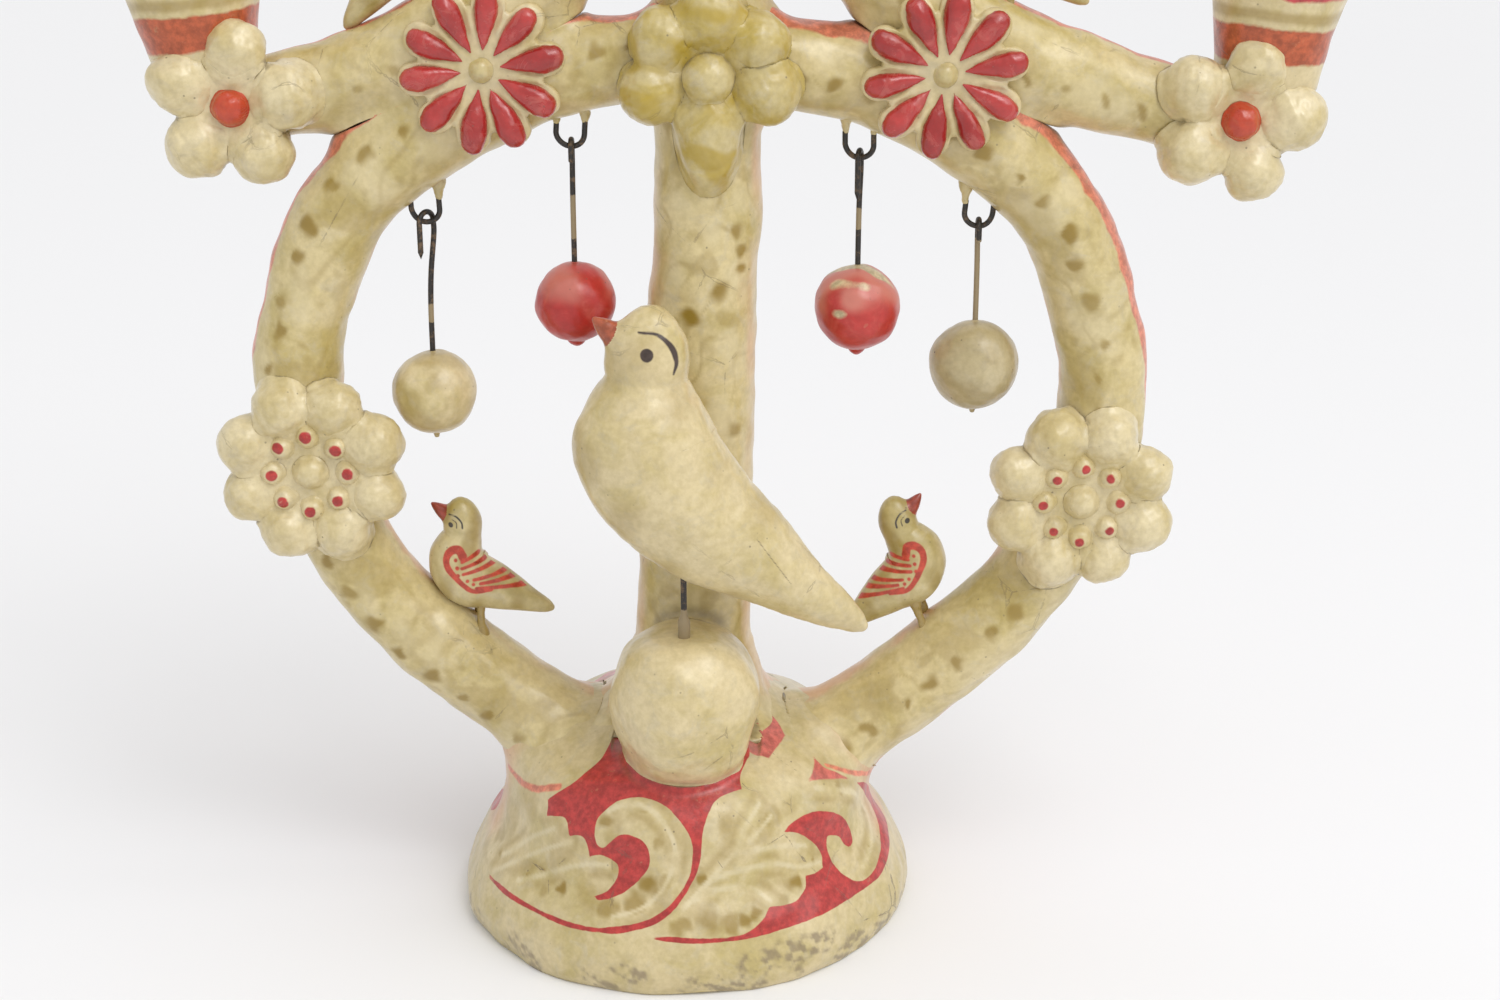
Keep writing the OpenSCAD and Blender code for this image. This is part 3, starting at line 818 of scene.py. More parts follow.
def iron_wire():
    """Blackened iron wire: brown rust, and clay slip left on stretches of it."""
    material = bpy.data.materials.new("Iron wire")
    READS["Iron wire"] = {"slip"}
    material.use_nodes = True
    tree = material.node_tree
    tree.nodes.clear()
    g = Graph(tree)
    place = g.add("ShaderNodeTexCoord").outputs["Object"]
    rust = g.steps(g.noise(place, 420.0, 4.0, 0.7), 0.48, 0.66)
    colour = g.mix(rust, (0.055, 0.052, 0.05), (0.16, 0.105, 0.06))
    slip = g.add("ShaderNodeAttribute", attribute_name="slip").outputs["Fac"]
    ragged = g.maths("ADD", slip, g.maths("MULTIPLY", g.maths("SUBTRACT", g.noise(place, 300.0, 4.0, 0.7),
                                                              0.5), 1.3))
    clay = g.steps(ragged, 0.45, 0.60)
    colour = g.mix(clay, colour, (0.30, 0.23, 0.13))
    bump = g.add("ShaderNodeBump", {"Strength": 0.5, "Distance": 0.0003,
                                    "Height": g.noise(place, 900.0, 4.0, 0.7)})
    shader = g.add("ShaderNodeBsdfPrincipled", {
        "Base Color": colour,
        "Metallic": g.maths("SUBTRACT", 0.75, g.maths("MULTIPLY", g.maths("MAXIMUM", rust, clay), 0.75),
                            clamp=True),
        "Roughness": g.maths("MULTIPLY_ADD", rust, 0.25),
        "Normal": bump.outputs[0],
    })
    shader.inputs["Roughness"].links[0].from_node.inputs[2].default_value = 0.42
    tree.links.new(shader.outputs[0], g.add("ShaderNodeOutputMaterial").inputs[0])
    return material


def matte_paper():
    """The pale floor."""
    material = bpy.data.materials.new("Floor")
    material.use_nodes = True
    shader = material.node_tree.nodes["Principled BSDF"]
    shader.inputs["Base Color"].default_value = (0.86, 0.86, 0.87, 1)
    shader.inputs["Roughness"].default_value = 0.7
    return material


SCROLLS = ("ochre", OCHRE, None, None, 0.92)
BLUSH = ("blush", SALMON, None, None, 0.75)
cream_clay = painted_clay("Cream clay", share=0.42, paints=[
    SCROLLS, ("red", RED, 0.25, 0.35, 0.4), ("dark", INK, 0.22, 0.1, 0.15),
    ("beak", (0.40, 0.085, 0.03), 0.4, 0.2, 0.3)])
branch_clay = painted_clay("Branch clay", light=(0.665, 0.55, 0.285), olive=(0.51, 0.405, 0.145), share=0.5,
                           paints=[
    SCROLLS, ("pale", (0.74, 0.65, 0.43), None, None, 0.28), BLUSH, ("pink", SALMON, 0.6, 0.5, 0.6)])
bell_clay = painted_clay("Bell clay", light=(0.64, 0.53, 0.30), olive=(0.50, 0.405, 0.165), share=0.5,
                         cracks=0.8, paints=[
    SCROLLS, ("pale", (0.74, 0.66, 0.46), None, None, 0.5), BLUSH, ("orange", SALMON, 0.4, 0.25, 0.5),
    ("pink", ROSE, 0.3, 0.2, 0.3), ("red", RED, 0.16, 0.16, 0.3), ("worn", BROWN, None, None, 0.55),
    ("dark", (0.12, 0.09, 0.06), 0.12, 0.02, 0.0)])
petal_clay = painted_clay("Pale petals", light=(0.72, 0.615, 0.375), olive=(0.58, 0.47, 0.22),
                          grey=(0.55, 0.475, 0.32), share=0.55, paints=[
    SCROLLS, ("red", RED, 0.25, 0.35, 0.4)])
bird_clay = painted_clay("Bird clay", light=(0.62, 0.52, 0.275), olive=(0.44, 0.35, 0.12), share=0.55,
                         cracks=0.1, relief=0.25, paints=[
    SCROLLS, ("red", (0.52, 0.05, 0.02), 0.2, 0.12, 0.25), ("dark", (0.05, 0.04, 0.03), 0.15, 0.05, 0.0),
    ("beak", (0.34, 0.05, 0.025), 0.4, 0.1, 0.3)])
cup_clay = painted_clay("Cup clay", share=0.5, paints=[
    ("orange", ORANGE, 0.5, 0.4, 0.4), ("red", (0.50, 0.04, 0.045), 0.5, 0.35, 0.4), SCROLLS])
olive_clay = painted_clay("Olive clay", light=(0.58, 0.48, 0.235), olive=(0.47, 0.35, 0.065), share=0.6,
                          cracks=0.3,
                          paints=[("ochre", (0.42, 0.29, 0.02), None, None, 0.8)])
crimson_clay = painted_clay("Crimson glaze", light=(0.48, 0.036, 0.032), olive=(0.33, 0.014, 0.012),
                            grey=(0.60, 0.16, 0.13), share=0.6, gloss=0.26, coat=0.5, cracks=0.0,
                            specks=0.5, relief=0.25)
button_clay = painted_clay("Orange button", light=(0.54, 0.06, 0.018), olive=(0.42, 0.025, 0.01),
                           grey=(0.54, 0.13, 0.05), share=0.5, gloss=0.30, cracks=0.0)
ball_clay = painted_clay("Red ball", light=(0.52, 0.038, 0.03), olive=(0.43, 0.018, 0.014),
                         grey=(0.56, 0.09, 0.07), share=0.5, cracks=0.0, specks=1.0, coat=0.2, paints=[
                             ("fade", (0.62, 0.25, 0.19), None, None, 0.8),
                             ("chip", (0.60, 0.48, 0.28), 0.5, 0.4, 0.0)])
stained_clay = painted_clay("Stained ball", light=(0.53, 0.445, 0.265), olive=(0.43, 0.35, 0.18),
                            grey=(0.37, 0.31, 0.20), share=0.6, cracks=0.3, specks=1.0, paints=[SCROLLS])
wire_iron = iron_wire()


# ---- the clay's solid shapes, for the joints ------------------------------------------

BELL = [
    [0.985, 0], [1, 0.07], [0.985, 0.17], [0.93, 0.30], [0.855, 0.42], [0.815, 0.54],
    [0.79, 0.66], [0.71, 0.79], [0.54, 0.90], [0.30, 0.97], [0, 1],
]
BELL_WALL = 8
BELL_ROOF = 33
TRUNK_FOOT = [[0, 1.96], [8, 1.66], [18, 1.42], [32, 1.19], [50, 1.08]]
TRUNK_SET = 11
TRUNK_R = 19.5

# Fillet where the bell, the trunk, the branches and the arms join
JOINT = 13

bell_outline = curve(np.array(BELL) * [base_r, base_h], 60)
trunk_foot_z = base_h - TRUNK_SET
trunk_foot = np.array([trunk_x(trunk_foot_z), 0, trunk_foot_z])
trunk_length = trunk_top - trunk_foot_z
trunk_outline = curve(
    [[TRUNK_R * share, z] for z, share in TRUNK_FOOT]
    + [[TRUNK_R, trunk_length * 0.45], [TRUNK_R * 0.92, trunk_length * 0.85],
       [TRUNK_R * 0.9, trunk_length]],
    60,
)
bud_low, bud_high = box("bud")
bud_r = (bud_high[0] - bud_low[0]) / 2
bud_h = bud_high[2] - bud_low[2]
bud_middle = (bud_low + bud_high) / 2
BUD = [[0, -1], [0.40, -0.91], [0.70, -0.70], [0.90, -0.36], [0.99, 0], [1, 0.22], [0.955, 0.48],
       [0.82, 0.74], [0.52, 0.94], [0, 1]]
bud_outline = curve(np.array(BUD) * [bud_r, bud_h / 2], 40)
bud_outline[:, 0] = np.maximum(bud_outline[:, 0], 0)

clay = {
    "base": turned_field(bell_outline, [base_x, 0, 0]),
    "trunk": turned_field(trunk_outline, trunk_foot, trunk_lean),
    "bud": turned_field(bud_outline, bud_middle),
    "heart_left": rod_field(curve(heart_left, 70)),
    "heart_right": rod_field(curve(heart_right, 70)),
    "arm_left": rod_field(curve(arm_left, 50)),
    "arm_right": rod_field(curve(arm_right, 50)),
}

# ---- the bell -------------------------------------------------------------------------

# The bell's paint, in [degrees from the front, millimetres up the outline]. It is painted
# twice, on the front and on the back.
LEFT_SCROLL = [
    (-44, 104), (-44, 104), (-40, 93), (-38, 86), (-40, 78), (-43, 71), (-49, 62), (-49, 62), (-48, 59),
    (-47.5, 56), (-47.5, 56), (-44, 57.5), (-40.5, 58.5), (-38, 57), (-36.5, 52.5), (-36.5, 52.5),
    (-33.5, 54), (-30.5, 53.5), (-28.5, 47.5), (-28.5, 47.5), (-25, 49), (-21.5, 48.5), (-19, 47),
    (-18.5, 44.5), (-19, 41), (-21, 37), (-24.5, 34), (-24.5, 34), (-23, 33), (-19.5, 34.5), (-15.5, 38),
    (-12, 42.5), (-9.5, 47), (-9, 51), (-10, 55), (-12.5, 57.5), (-16.5, 58.5), (-19.5, 57.5),
    (-22, 54.5), (-24, 52), (-26, 52.5), (-27, 55), (-27.5, 59), (-27, 62.5), (-25, 66), (-22, 69.5),
    (-18, 71.5), (-13.5, 72.5), (-8.5, 71.5), (-4, 69), (-1, 65.5), (2, 61), (3.5, 56.5), (3.5, 51.5),
    (3, 46.5), (1.5, 42), (-0.5, 38), (-3.5, 33.5), (-7.5, 29.5), (-11.5, 27), (-17, 25), (-21, 23.5),
    (-26, 23), (-36, 23), (-49, 23.5), (-56.5, 23.5), (-67, 22.5), (-67, 22.5), (-55, 21.5), (-41, 21.5),
    (-30, 21), (-20.5, 22), (-16, 22.5), (-11.5, 24.5), (-7, 27), (-2.5, 31.5), (0.5, 36.5), (3, 41.5),
    (5, 46.5), (6, 52), (6.5, 58), (8, 64.5), (10.5, 69.5), (13, 72), (17, 73.5), (22, 74.5), (22, 74.5),
    (23, 78.5), (25, 82), (29, 85.5), (33, 88), (37, 95), (34, 104), (34, 104), (0, 112),
]
RIGHT_SCROLL = [
    (-7, 22.5), (-2, 23), (2.5, 22.5), (10.5, 22), (15, 22), (18, 23), (20.5, 25), (22.5, 27), (24, 29.5),
    (25, 30), (28.5, 29.5), (32, 29.5), (35, 31.5), (37, 33.5), (38, 37), (38, 37), (41, 36.5), (45, 37),
    (45, 37), (46, 40.5), (45.5, 43.5), (43.5, 47.5), (40, 51.5), (36.5, 54), (33.5, 55), (33.5, 55),
    (36.5, 57.5), (41, 58.5), (45.5, 58.5), (50.5, 56.5), (56, 52.5), (59.5, 47.5), (61, 42.5),
    (60.5, 39), (58.5, 38), (58.5, 38), (56.5, 40.5), (55, 44), (52.5, 46), (50, 47), (49, 44.5),
    (49, 40.5), (50, 35), (52, 30), (55, 26), (59, 24.5), (63, 25), (68.5, 27.5), (74, 31), (79, 35),
    (81.5, 40), (78, 48), (70, 58), (70, 58), (79, 53), (89, 43), (91, 35), (86.5, 30), (80.5, 27.5),
    (75, 25), (69.5, 23), (63.5, 21.5), (51.5, 22), (39, 22), (28.5, 21.5), (19, 20.5), (10.5, 20.5),
    (2.5, 20.5), (-1, 21), (-5, 21.5),
]
FADED_PATCH = [(40, 84), (40, 84), (46.5, 86.5), (56.5, 89), (56.5, 89), (61.5, 98), (58, 105), (58, 105),
               (42, 102), (36, 95), (34, 89)]
TRIANGLE = [
    (58.5, 76), (58.5, 76), (58, 73), (59, 69.5), (66, 61.5), (66, 61.5), (61, 64), (55, 67),
    (48.5, 69.5), (48.5, 69.5), (52.5, 71.5), (55.5, 73.5),
]
ORANGE_LINES = [[(60, 70.5), (65, 65.5), (72, 61), (82, 57), (92, 55)],
                [(-80, 59.5), (-70.5, 60), (-63, 61), (-56, 63), (-47, 68)]]
# Dabs of thin brown paint: [angle, height, radius, strength]
BELL_DABS = [
    (-63, 32, 2.2, 0.7), (-49, 33, 1.8, 0.7), (-44, 35.5, 2.2, 0.8), (-35.5, 33.5, 2.6, 1),
    (-9, 41.5, 4.2, 1), (-12.5, 34, 5.2, 0.8), (-20, 31.5, 5, 0.7), (-23.5, 62, 3.4, 0.8),
    (-6, 56, 2.6, 0.6), (6, 44, 2.6, 1), (0, 26.5, 4, 0.7), (-4.5, 42, 3, 0.5), (-41, 29.5, 2.6, 0.5),
    (-71, 36, 4, 0.5), (-12, 69, 3, 0.5), (1, 27, 3.6, 0.7), (7.5, 28.5, 5, 0.7), (20.5, 29, 3.6, 1),
    (17.5, 27, 3.4, 1), (13, 26.5, 4, 0.8), (33.5, 36, 3.4, 1), (42, 40.5, 1.6, 0.8),
    (14.5, 63, 4.2, 0.5), (27.5, 60.5, 3, 0.5), (59, 62, 2.4, 0.6), (72, 45, 3, 0.5),
    (66.5, 33.5, 2, 0.5), (28, 31.5, 3.4, 0.6), (46.5, 51, 1.6, 0.5),
]
RIM_WEAR = [
    (21, 11, 5, 0.7), (28, 12, 5, 0.8), (36, 13, 4, 0.9), (48, 4, 5, 1.0), (56, 3, 5, 0.9),
    (8, 5, 5, 0.7), (12, 2, 6, 0.8), (-12, 9, 4, 0.6), (-20, 5, 5, 0.6), (-42, 7, 5, 0.5),
    (-70, 4, 6, 0.5), (75, 3, 5, 0.6), (120, 4, 8, 0.7), (170, 6, 8, 0.7), (-130, 5, 9, 0.7),
]
PAINT_RADIUS = 76
LEAF_RIBS = [
    [(-2, 29.5), (3.5, 36.5), (10, 44.5), (15.5, 51), (22.5, 56.5), (30, 62.5)],
    [(10, 43.5), (17.5, 45), (28, 45), (36.5, 41), (44.5, 39.5)],
    [(4, 36), (8.5, 38.5), (15, 39.5), (21, 37.5), (25, 32.5)],
    [(15.5, 51), (23, 51.5), (31.5, 50.5), (40.5, 47.5)], [(18, 53), (20, 60), (27, 68)],
    [(-62, 25), (-54.5, 35.5), (-45.5, 44), (-36, 50.5)],
    [(-62.5, 32), (-54, 44), (-43, 53)], [(-50.5, 29), (-40, 38), (-29, 44.5), (-22, 46)],
    [(-24, 66), (-17.5, 69.5), (-9.5, 68), (-3.5, 61), (-1.5, 52.5), (-4.5, 41), (-10.5, 32.5), (-18, 28)],
    [(50, 66), (60, 60), (68, 54), (74.5, 42), (69, 33.5), (60, 29)],
]
BELL_CRACKS = [[(43, 90.5), (43.5, 85.5), (45, 80.5), (48, 74)], [(12.5, 71), (12, 68), (12.5, 64.5)],
               [(11, 49.5), (12.5, 46.5)], [(23, 77), (25, 73.5)]]


def bell_paint(p, run, angle):
    """The bell's painted shapes, measured round the bell at one radius and up its outline."""
    scale = np.radians(1) * PAINT_RADIUS
    turned = (np.degrees(angle) + 90) % 180 - 90
    wide = np.where(np.degrees(angle) > 100, np.degrees(angle) - 180, np.degrees(angle))
    wide = np.where(wide < -84, wide + 180, wide)
    x, y = wide * scale, run

    def shape(points):
        return filled(x, y, loop(np.array(points) * [scale, 1]))

    def line(points, width):
        return stroke(x, y, curve(np.array(points) * [scale, 1], 20), width)

    loose_x, loose_y = shifted(x, y, p, 1.3, 6, 27)

    def drift(wave, seed, squash=1.0):
        return wander(p.reshape(-1, 3) * [1, 1, squash], wave, seed).reshape(p.shape[:2])

    red = np.minimum(shape(LEFT_SCROLL), shape(RIGHT_SCROLL))
    pink = np.minimum(shape(FADED_PATCH), shape(TRIANGLE))
    orange = np.minimum.reduce([line(points, (0.9, 1.5)) for points in ORANGE_LINES])
    rib = np.minimum.reduce([line(points, (0.7, 0.3)) for points in LEAF_RIBS])
    crack = np.minimum.reduce([line(points, (0.16, 0.08)) for points in BELL_CRACKS])
    band = ease((run - 23) / 4) * ease((84 - run) / 12)
    shading = ease(1 - np.abs(rib - 3.2) / 3.2) * ease(0.6 + 0.8 * drift(16, 21))
    dabs = spots(loose_x, loose_y, [(a * scale, b, r * 0.85, s) for a, b, r, s in BELL_DABS])
    ochre = np.maximum(dabs, band * np.maximum(0.45 * shading, 0.3 * ease(drift(14, 25)))) * ease(0.3 + rib)
    pale = 0.8 * band * ease(1 - rib / 0.9) * ease(0.7 + 0.6 * drift(12, 26))
    ring = ease((9 - run) / 6) * 0.7 * ease(drift(9, 22) - 0.4)
    whole = np.degrees(angle) * scale
    rough = 0.35 + 0.7 * drift(6.5, 23, 2.2) + 0.5 * drift(2.6, 41, 1.4) + 0.4 * drift(13, 43)
    wear = spots(whole / 1.8, run, [(a * scale / 1.8, b, r, s) for a, b, r, s in RIM_WEAR])
    worn = ease(1.5 * np.maximum(wear, ring) * rough)
    blush = 0.45 * ease((np.abs(turned) - 70) / 12) * ease((run - 26) / 10) * ease((80 - run) / 12)
    return {"red": red, "pink": pink, "orange": orange, "ochre": ochre, "worn": worn, "blush": blush,
            "pale": pale, "dark": crack}


def bell():
    """The foot: a bell outline carried round, with a thick rounded rim and a hollow inside."""
    outside = curve(np.array(BELL) * [base_r, base_h], 400)[::-1]
    rim = [(base_r - 1.5, 0.25), (base_r - 3, 0), (base_r - BELL_WALL + 1, 0)]
    a = np.radians(np.linspace(0, 90, 40))
    inner = (base_r - BELL_WALL) * np.cos(a) * (0.86 + 0.14 * np.cos(a))
    inside = np.stack([inner, (base_h - BELL_ROOF) * np.sin(a)], 1)
    hollow = even(np.vstack([rim, inside[1:]]), 4.0 * GRAIN)
    skin_out = even(outside[outside[:, 1] > 0.8], 0.92 * GRAIN)
    outline = np.vstack([skin_out, hollow])
    outline[0, 0] = 0
    outline[-1, 0] = 0
    p, _, angle = turned_grid(outline, 1, [base_x, 0, 0], front=0.42, count=int(500 / GRAIN))
    up = run_length(outline[::-1])[::-1] - run_length(hollow)[-1]
    run = np.maximum(up, 0)[:, None] + 0 * angle
    paint = bell_paint(p, run, angle)
    outer = np.arange(len(outline)) < len(skin_out)
    joints = nearest(clay["trunk"], clay["heart_left"], clay["heart_right"])
    p[outer] = settle(p[outer], clay["base"], joints, JOINT)
    p[outer] = settle(p[outer], clay["base"], clay["bud"], 4)
    p = handmade(p, 0.8, 42, 5)
    p[..., 2] = np.maximum(p[..., 2], 0)
    n = grid_normals(p)
    paint["crease"] = hollowness(p, n, nearest(joints, clay["bud"], clay["base"])) * outer[:, None]
    keep = outer[:, None] + 0 * angle
    for key in ("red", "pink", "orange", "dark"):
        paint[key] = np.where(keep > 0, paint[key], 9)
    for key in ("ochre", "worn", "blush", "pale"):
        paint[key] = paint[key] * keep
    piece("bell_clay", [(p, paint)], bell_clay, "painted_bell", ["base"])


bell()


# ---- trunk, bud, heart and arms -------------------------------------------------------


def scroll_paint(p, run, round_, angle, seed, dots=14.0, offset=7.0, dot_r=2.4, strength=1.0, rosy=0.0):
    """The branches' paint, in millimetres along and round from the front line.

    A row of olive dots stands off to the outer side, curls sweep in to it from the inner side,
    and a scalloped rose band runs along the outer edge.
    """
    rng = np.random.default_rng(seed)
    true_round = round_
    run, round_ = shifted(run, round_, p, 1.1, 7, seed + 4)
    cell = np.floor(run / dots).astype(int)
    cell -= cell.min()
    count = cell.max() + 1
    jitter = rng.uniform(-1, 1, (5, count))
    along = run - (np.floor(run / dots) + 0.5) * dots - 2.2 * jitter[0][cell]
    across = round_ - offset - 1.6 * jitter[1][cell]
    size = dot_r * (1 + 0.35 * jitter[2][cell])
    dot = (0.85 + 0.15 * jitter[3][cell]) * ease(1.55 - 0.95 * np.hypot(along, across) / size)
    flat = p.reshape(-1, 3)

    def drift(wave, number, squash=(1, 1, 1)):
        return wander(flat * squash, wave, seed + number).reshape(run.shape)

    front = ease((17 - np.abs(round_)) / 7)
    curl = np.abs(drift(15, 5)) * ease(0.7 + drift(24, 6))
    strokes = ease(1.15 - curl / 0.22) * ease((offset + 3 - round_) / 5)
    blotch = ease(1.3 * drift(7, 7) - 0.35) * ease(0.8 + drift(30, 8))
    ochre = strength * np.maximum(dot, front * np.maximum(0.3 * strokes, 0.3 * blotch))
    pale = front * ease(1.1 * drift(17, 9, (1, 1, 0.6))) * (1 - dot)
    scallop = 1.3 * np.abs(np.sin(np.pi * run / dots)) + 1.2 * drift(40, 2)
    high = ease((p[..., 2] - 180) / 60)
    edge = 21.5 + scallop - rosy * (0.25 + 0.75 * high)
    pink = np.where(round_ > 0, edge - true_round, 9.0)
    back = 0.35 * ease((np.abs(np.degrees(angle)) - 95) / 30)
    inner_side = 0.5 * ease((-round_ - 21) / 5) * ease(0.6 + 0.8 * drift(30, 3))
    return {"ochre": ochre, "pale": pale, "pink": pink, "blush": np.maximum(back, inner_side)}


def branch(name, knots, own, neighbours, outer, node, seed, fillet=JOINT, extra=(), **style):
    """A rod of clay along its knots, with its joints rounded."""
    path = curve(knots, 400)
    p, run, angle = rod_grid(path, 1.0 * GRAIN, outer=outer, front=0.3, bulge=0.35)
    p = settle(p, own, neighbours, fillet)
    r = np.interp(np.linspace(0, 1, len(p)), np.linspace(0, 1, len(path)), path[:, 2])[:, None]
    paint = scroll_paint(p, run, r * angle, angle, seed, **style)
    p = handmade(p, 0.7, 34, 5)
    paint["crease"] = hollowness(p, grid_normals(p), neighbours)
    piece(name, [(p, paint), *extra], branch_clay, "scrolled_clay", [node])


def trunk():
    """The trunk: its outline carried round a leaning axis, with a flared foot."""
    wall = even(np.vstack([trunk_outline]), 1.05 * GRAIN)
    top = np.array([[TRUNK_R * 0.8, trunk_length + 1.5], [0, trunk_length + 2]])
    outline = np.vstack([[[0, -3]], wall, top])
    p, _, angle = turned_grid(outline, 1.0, trunk_foot, trunk_lean, front=0.3, count=int(140 / GRAIN))
    joints = nearest(clay["base"], clay["heart_left"], clay["heart_right"], clay["arm_left"],
                     clay["arm_right"])
    p = settle(p, clay["trunk"], joints, JOINT)
    p = settle(p, clay["trunk"], clay["bud"], 4)
    z = p[..., 2]
    round_ = TRUNK_R * angle
    flat = p.reshape(-1, 3)
    loose, high = shifted(round_, z, p, 0.9, 8, 36)
    dabs = spots(loose, high, [
        (12, 264, 2.6, 0.9), (14, 257, 2.4, 0.9), (15, 250, 2.4, 0.9), (6, 243, 3.6, 1), (-4, 234, 3.4, 1),
        (13, 192, 2.6, 0.8),
        (-3, 198, 2, 0.8), (1, 190, 2.4, 0.9), (3, 182, 2.6, 0.9), (7, 176, 2.6, 0.8), (-12, 150, 4, 0.4),
        (-9, 130, 3, 0.4)])

    def drift(wave, number):
        return wander(flat, wave, number).reshape(z.shape)

    mottle = 0.35 * ease(1.3 * drift(8, 31) - 0.3) * ease(0.8 + drift(30, 34))
    curls = 0.4 * ease(1.15 - np.abs(drift(19, 35)) / 0.2) * ease(0.7 + drift(28, 32))
    side = ease((np.abs(np.degrees(angle)) - 52) / 14)
    paint = {
        "ochre": np.maximum(dabs, np.maximum(mottle, curls) * (1 - 0.8 * side)),
        "pale": ease(1.1 * drift(18, 37)) * (1 - dabs),
        "blush": side * (0.22 + 0.25 * drift(35, 33)),
        "pink": np.full(z.shape, 9.0),
    }
    p = handmade(p, 0.7, 36, 5)
    paint["crease"] = hollowness(p, grid_normals(p), nearest(joints, clay["bud"]))
    piece("trunk_clay", [(p, paint)], branch_clay, "scrolled_clay", ["trunk"])


def bud():
    """The bud: an egg outline carried round, pressed a little flat at the top."""
    outline = even(bud_outline, 0.9 * GRAIN)
    outline[[0, -1], 0] = 0
    p, _, _ = turned_grid(outline, 0.9 * GRAIN, bud_middle)
    p = settle(p, clay["bud"], nearest(clay["base"], clay["trunk"]), 4)
    p = handmade(p, 0.7, 26, 8)
    crease = hollowness(p, grid_normals(p), nearest(clay["base"], clay["trunk"]), 6)
    piece("bud_clay", [(p, {"crease": crease})], cream_clay, "cream_clay", ["bud"])


trunk()
bud()


def nubs(numbers):
    """Little cones of clay round the ends of the wire eyes."""
    made = []
    for number in numbers:
        x, _, z = hinge(number)
        for side in (-EYE_R, EYE_R):
            top = z + 10.5
            knots = np.array([[x + side, top + 9, 2.6], [x + side, top + 4, 2.4],
                              [x + side, top + 0.5, 1.6], [x + side, top - 1.5, 1.15]])
            p, _, _ = rod_grid(curve(knots, 20), FINE * GRAIN)
            # A little of the painted crease shade, the same all over
            made.append((handmade(p, 0.3, 5, 9), {"crease": 0.4}))
    return made


EYE_R = 5.0
branch("heart_left_clay", heart_left, clay["heart_left"],
       nearest(clay["base"], clay["trunk"], clay["arm_left"]), 1, "heart_branch_left", 41,
       extra=nubs((1, 2)), strength=1.0, rosy=4.5)
branch("heart_right_clay", heart_right, clay["heart_right"],
       nearest(clay["base"], clay["trunk"], clay["arm_right"]), -1, "heart_branch_right", 47,
       extra=nubs((3, 4)), offset=-2.0, strength=1.0, rosy=8.0)
branch("arm_left_clay", arm_left, clay["arm_left"], nearest(clay["trunk"], clay["heart_left"]), -1,
       "arm_left", 53, dots=15, offset=-4, dot_r=2.0, strength=0.7, rosy=2.0)
branch("arm_right_clay", arm_right, clay["arm_right"], nearest(clay["trunk"], clay["heart_right"]), 1,
       "arm_right", 59, dots=15, offset=-4, dot_r=2.0, strength=0.8, rosy=2.0)


# ---- candle cups ----------------------------------------------------------------------

CUP_H = 56
CUP_FOOT_R = 17.5
CUP_RIM_R = 29.5
CUP_LIP = 3
MOUTH_Z = CUP_H - 24


def cup(socket_name, node, arm):
    """A candle cup: a flared wall, a rolled lip, a funnel mouth and the socket for the candle."""
    place, axis = socket(socket_name)
    mount = next(m for m in frame["record"]["mounts"] if m["name"] == socket_name)
    socket_r, socket_h = mount["dims"]["r_mm"], mount["dims"]["length_mm"]
    t = np.linspace(0, 0.9, 30)
    wall = np.stack([CUP_FOOT_R + (CUP_RIM_R - 1.5 - CUP_FOOT_R) * t**1.15, (CUP_H - 4) * t], 1)
    a = np.radians(np.linspace(-60, 150, 16))
    lip = np.stack([CUP_RIM_R - CUP_LIP + CUP_LIP * np.cos(a), CUP_H - CUP_LIP + CUP_LIP * np.sin(a)], 1)
    inside = [[socket_r + 5, MOUTH_Z + 6], [socket_r + 1, MOUTH_Z + 0.6], [socket_r, MOUTH_Z - 1],
              [socket_r, MOUTH_Z - socket_h], [0, MOUTH_Z - socket_h]]
    outline = even(np.vstack([[[0, 0]], wall, lip, inside]), 0.8 * GRAIN)
    outline[[0, -1], 0] = 0
    p, run, angle = turned_grid(outline, 0.95 * GRAIN, np.zeros(3))
    height = p[..., 2] + 0.5 * wander(p.reshape(-1, 3), 20, 61).reshape(angle.shape)
    across = np.array([axis[2], 0, -axis[0]])
    turn = np.stack([across, [0, 1, 0], axis], 1)
    foot = place - SOCKET_OVER_FOOT * axis
    profile = even(np.vstack([wall, lip[:9]]), 2)
    profile[0, 1] = 0
    own = placed(turned_field(profile, np.zeros(3)), foot, turn)
    world = p @ turn.T + foot
    outer = run < run_length(outline)[np.argmax(outline[:, 1])]
    world[outer] = settle(world[outer], own, arm, 4)
    bands = np.abs(height - 15) - 6.0, np.abs(height - 33) - 2.0, np.abs(height - 50) - 2.5
    far = np.full(angle.shape, 9.0)
    paint = {
        "orange": np.where(outer, bands[0], far),
        "red": np.where(outer, np.minimum(bands[1], bands[2]), far),
        "ochre": 0.6 * ease(1.4 - np.abs(height - 25) / 2) * outer,
    }
    world = handmade(world, 0.5, 30, 62)
    # Painted shade: outside, in the joint with the arm; inside the mouth, darker the deeper it goes
    paint["crease"] = np.where(outer, hollowness(world, grid_normals(world), arm, 5),
                               0.5 * ease((MOUTH_Z + 6 - p[..., 2]) / 14))
    piece(node + "_clay", [(world, paint)], cup_clay, "banded_cup", [node])


cup("candle_socket_left", "candle_cup_left", clay["arm_left"])
cup("candle_socket_right", "candle_cup_right", clay["arm_right"])
cup("candle_socket_top", "candle_cup_top", clay["trunk"])


# ---- flowers --------------------------------------------------------------------------

# A flower's own axes: x to the right, y up, z out to the front
FACING = np.array([[1, 0, 0], [0, 0, 1], [0, -1, 0]], float).T
FLOWER_SINK = 4


def flower_origin(button, height):
    """Where a flower stands, from its button, whose middle is height over it."""
    return middle(button) + [0, height, 0]


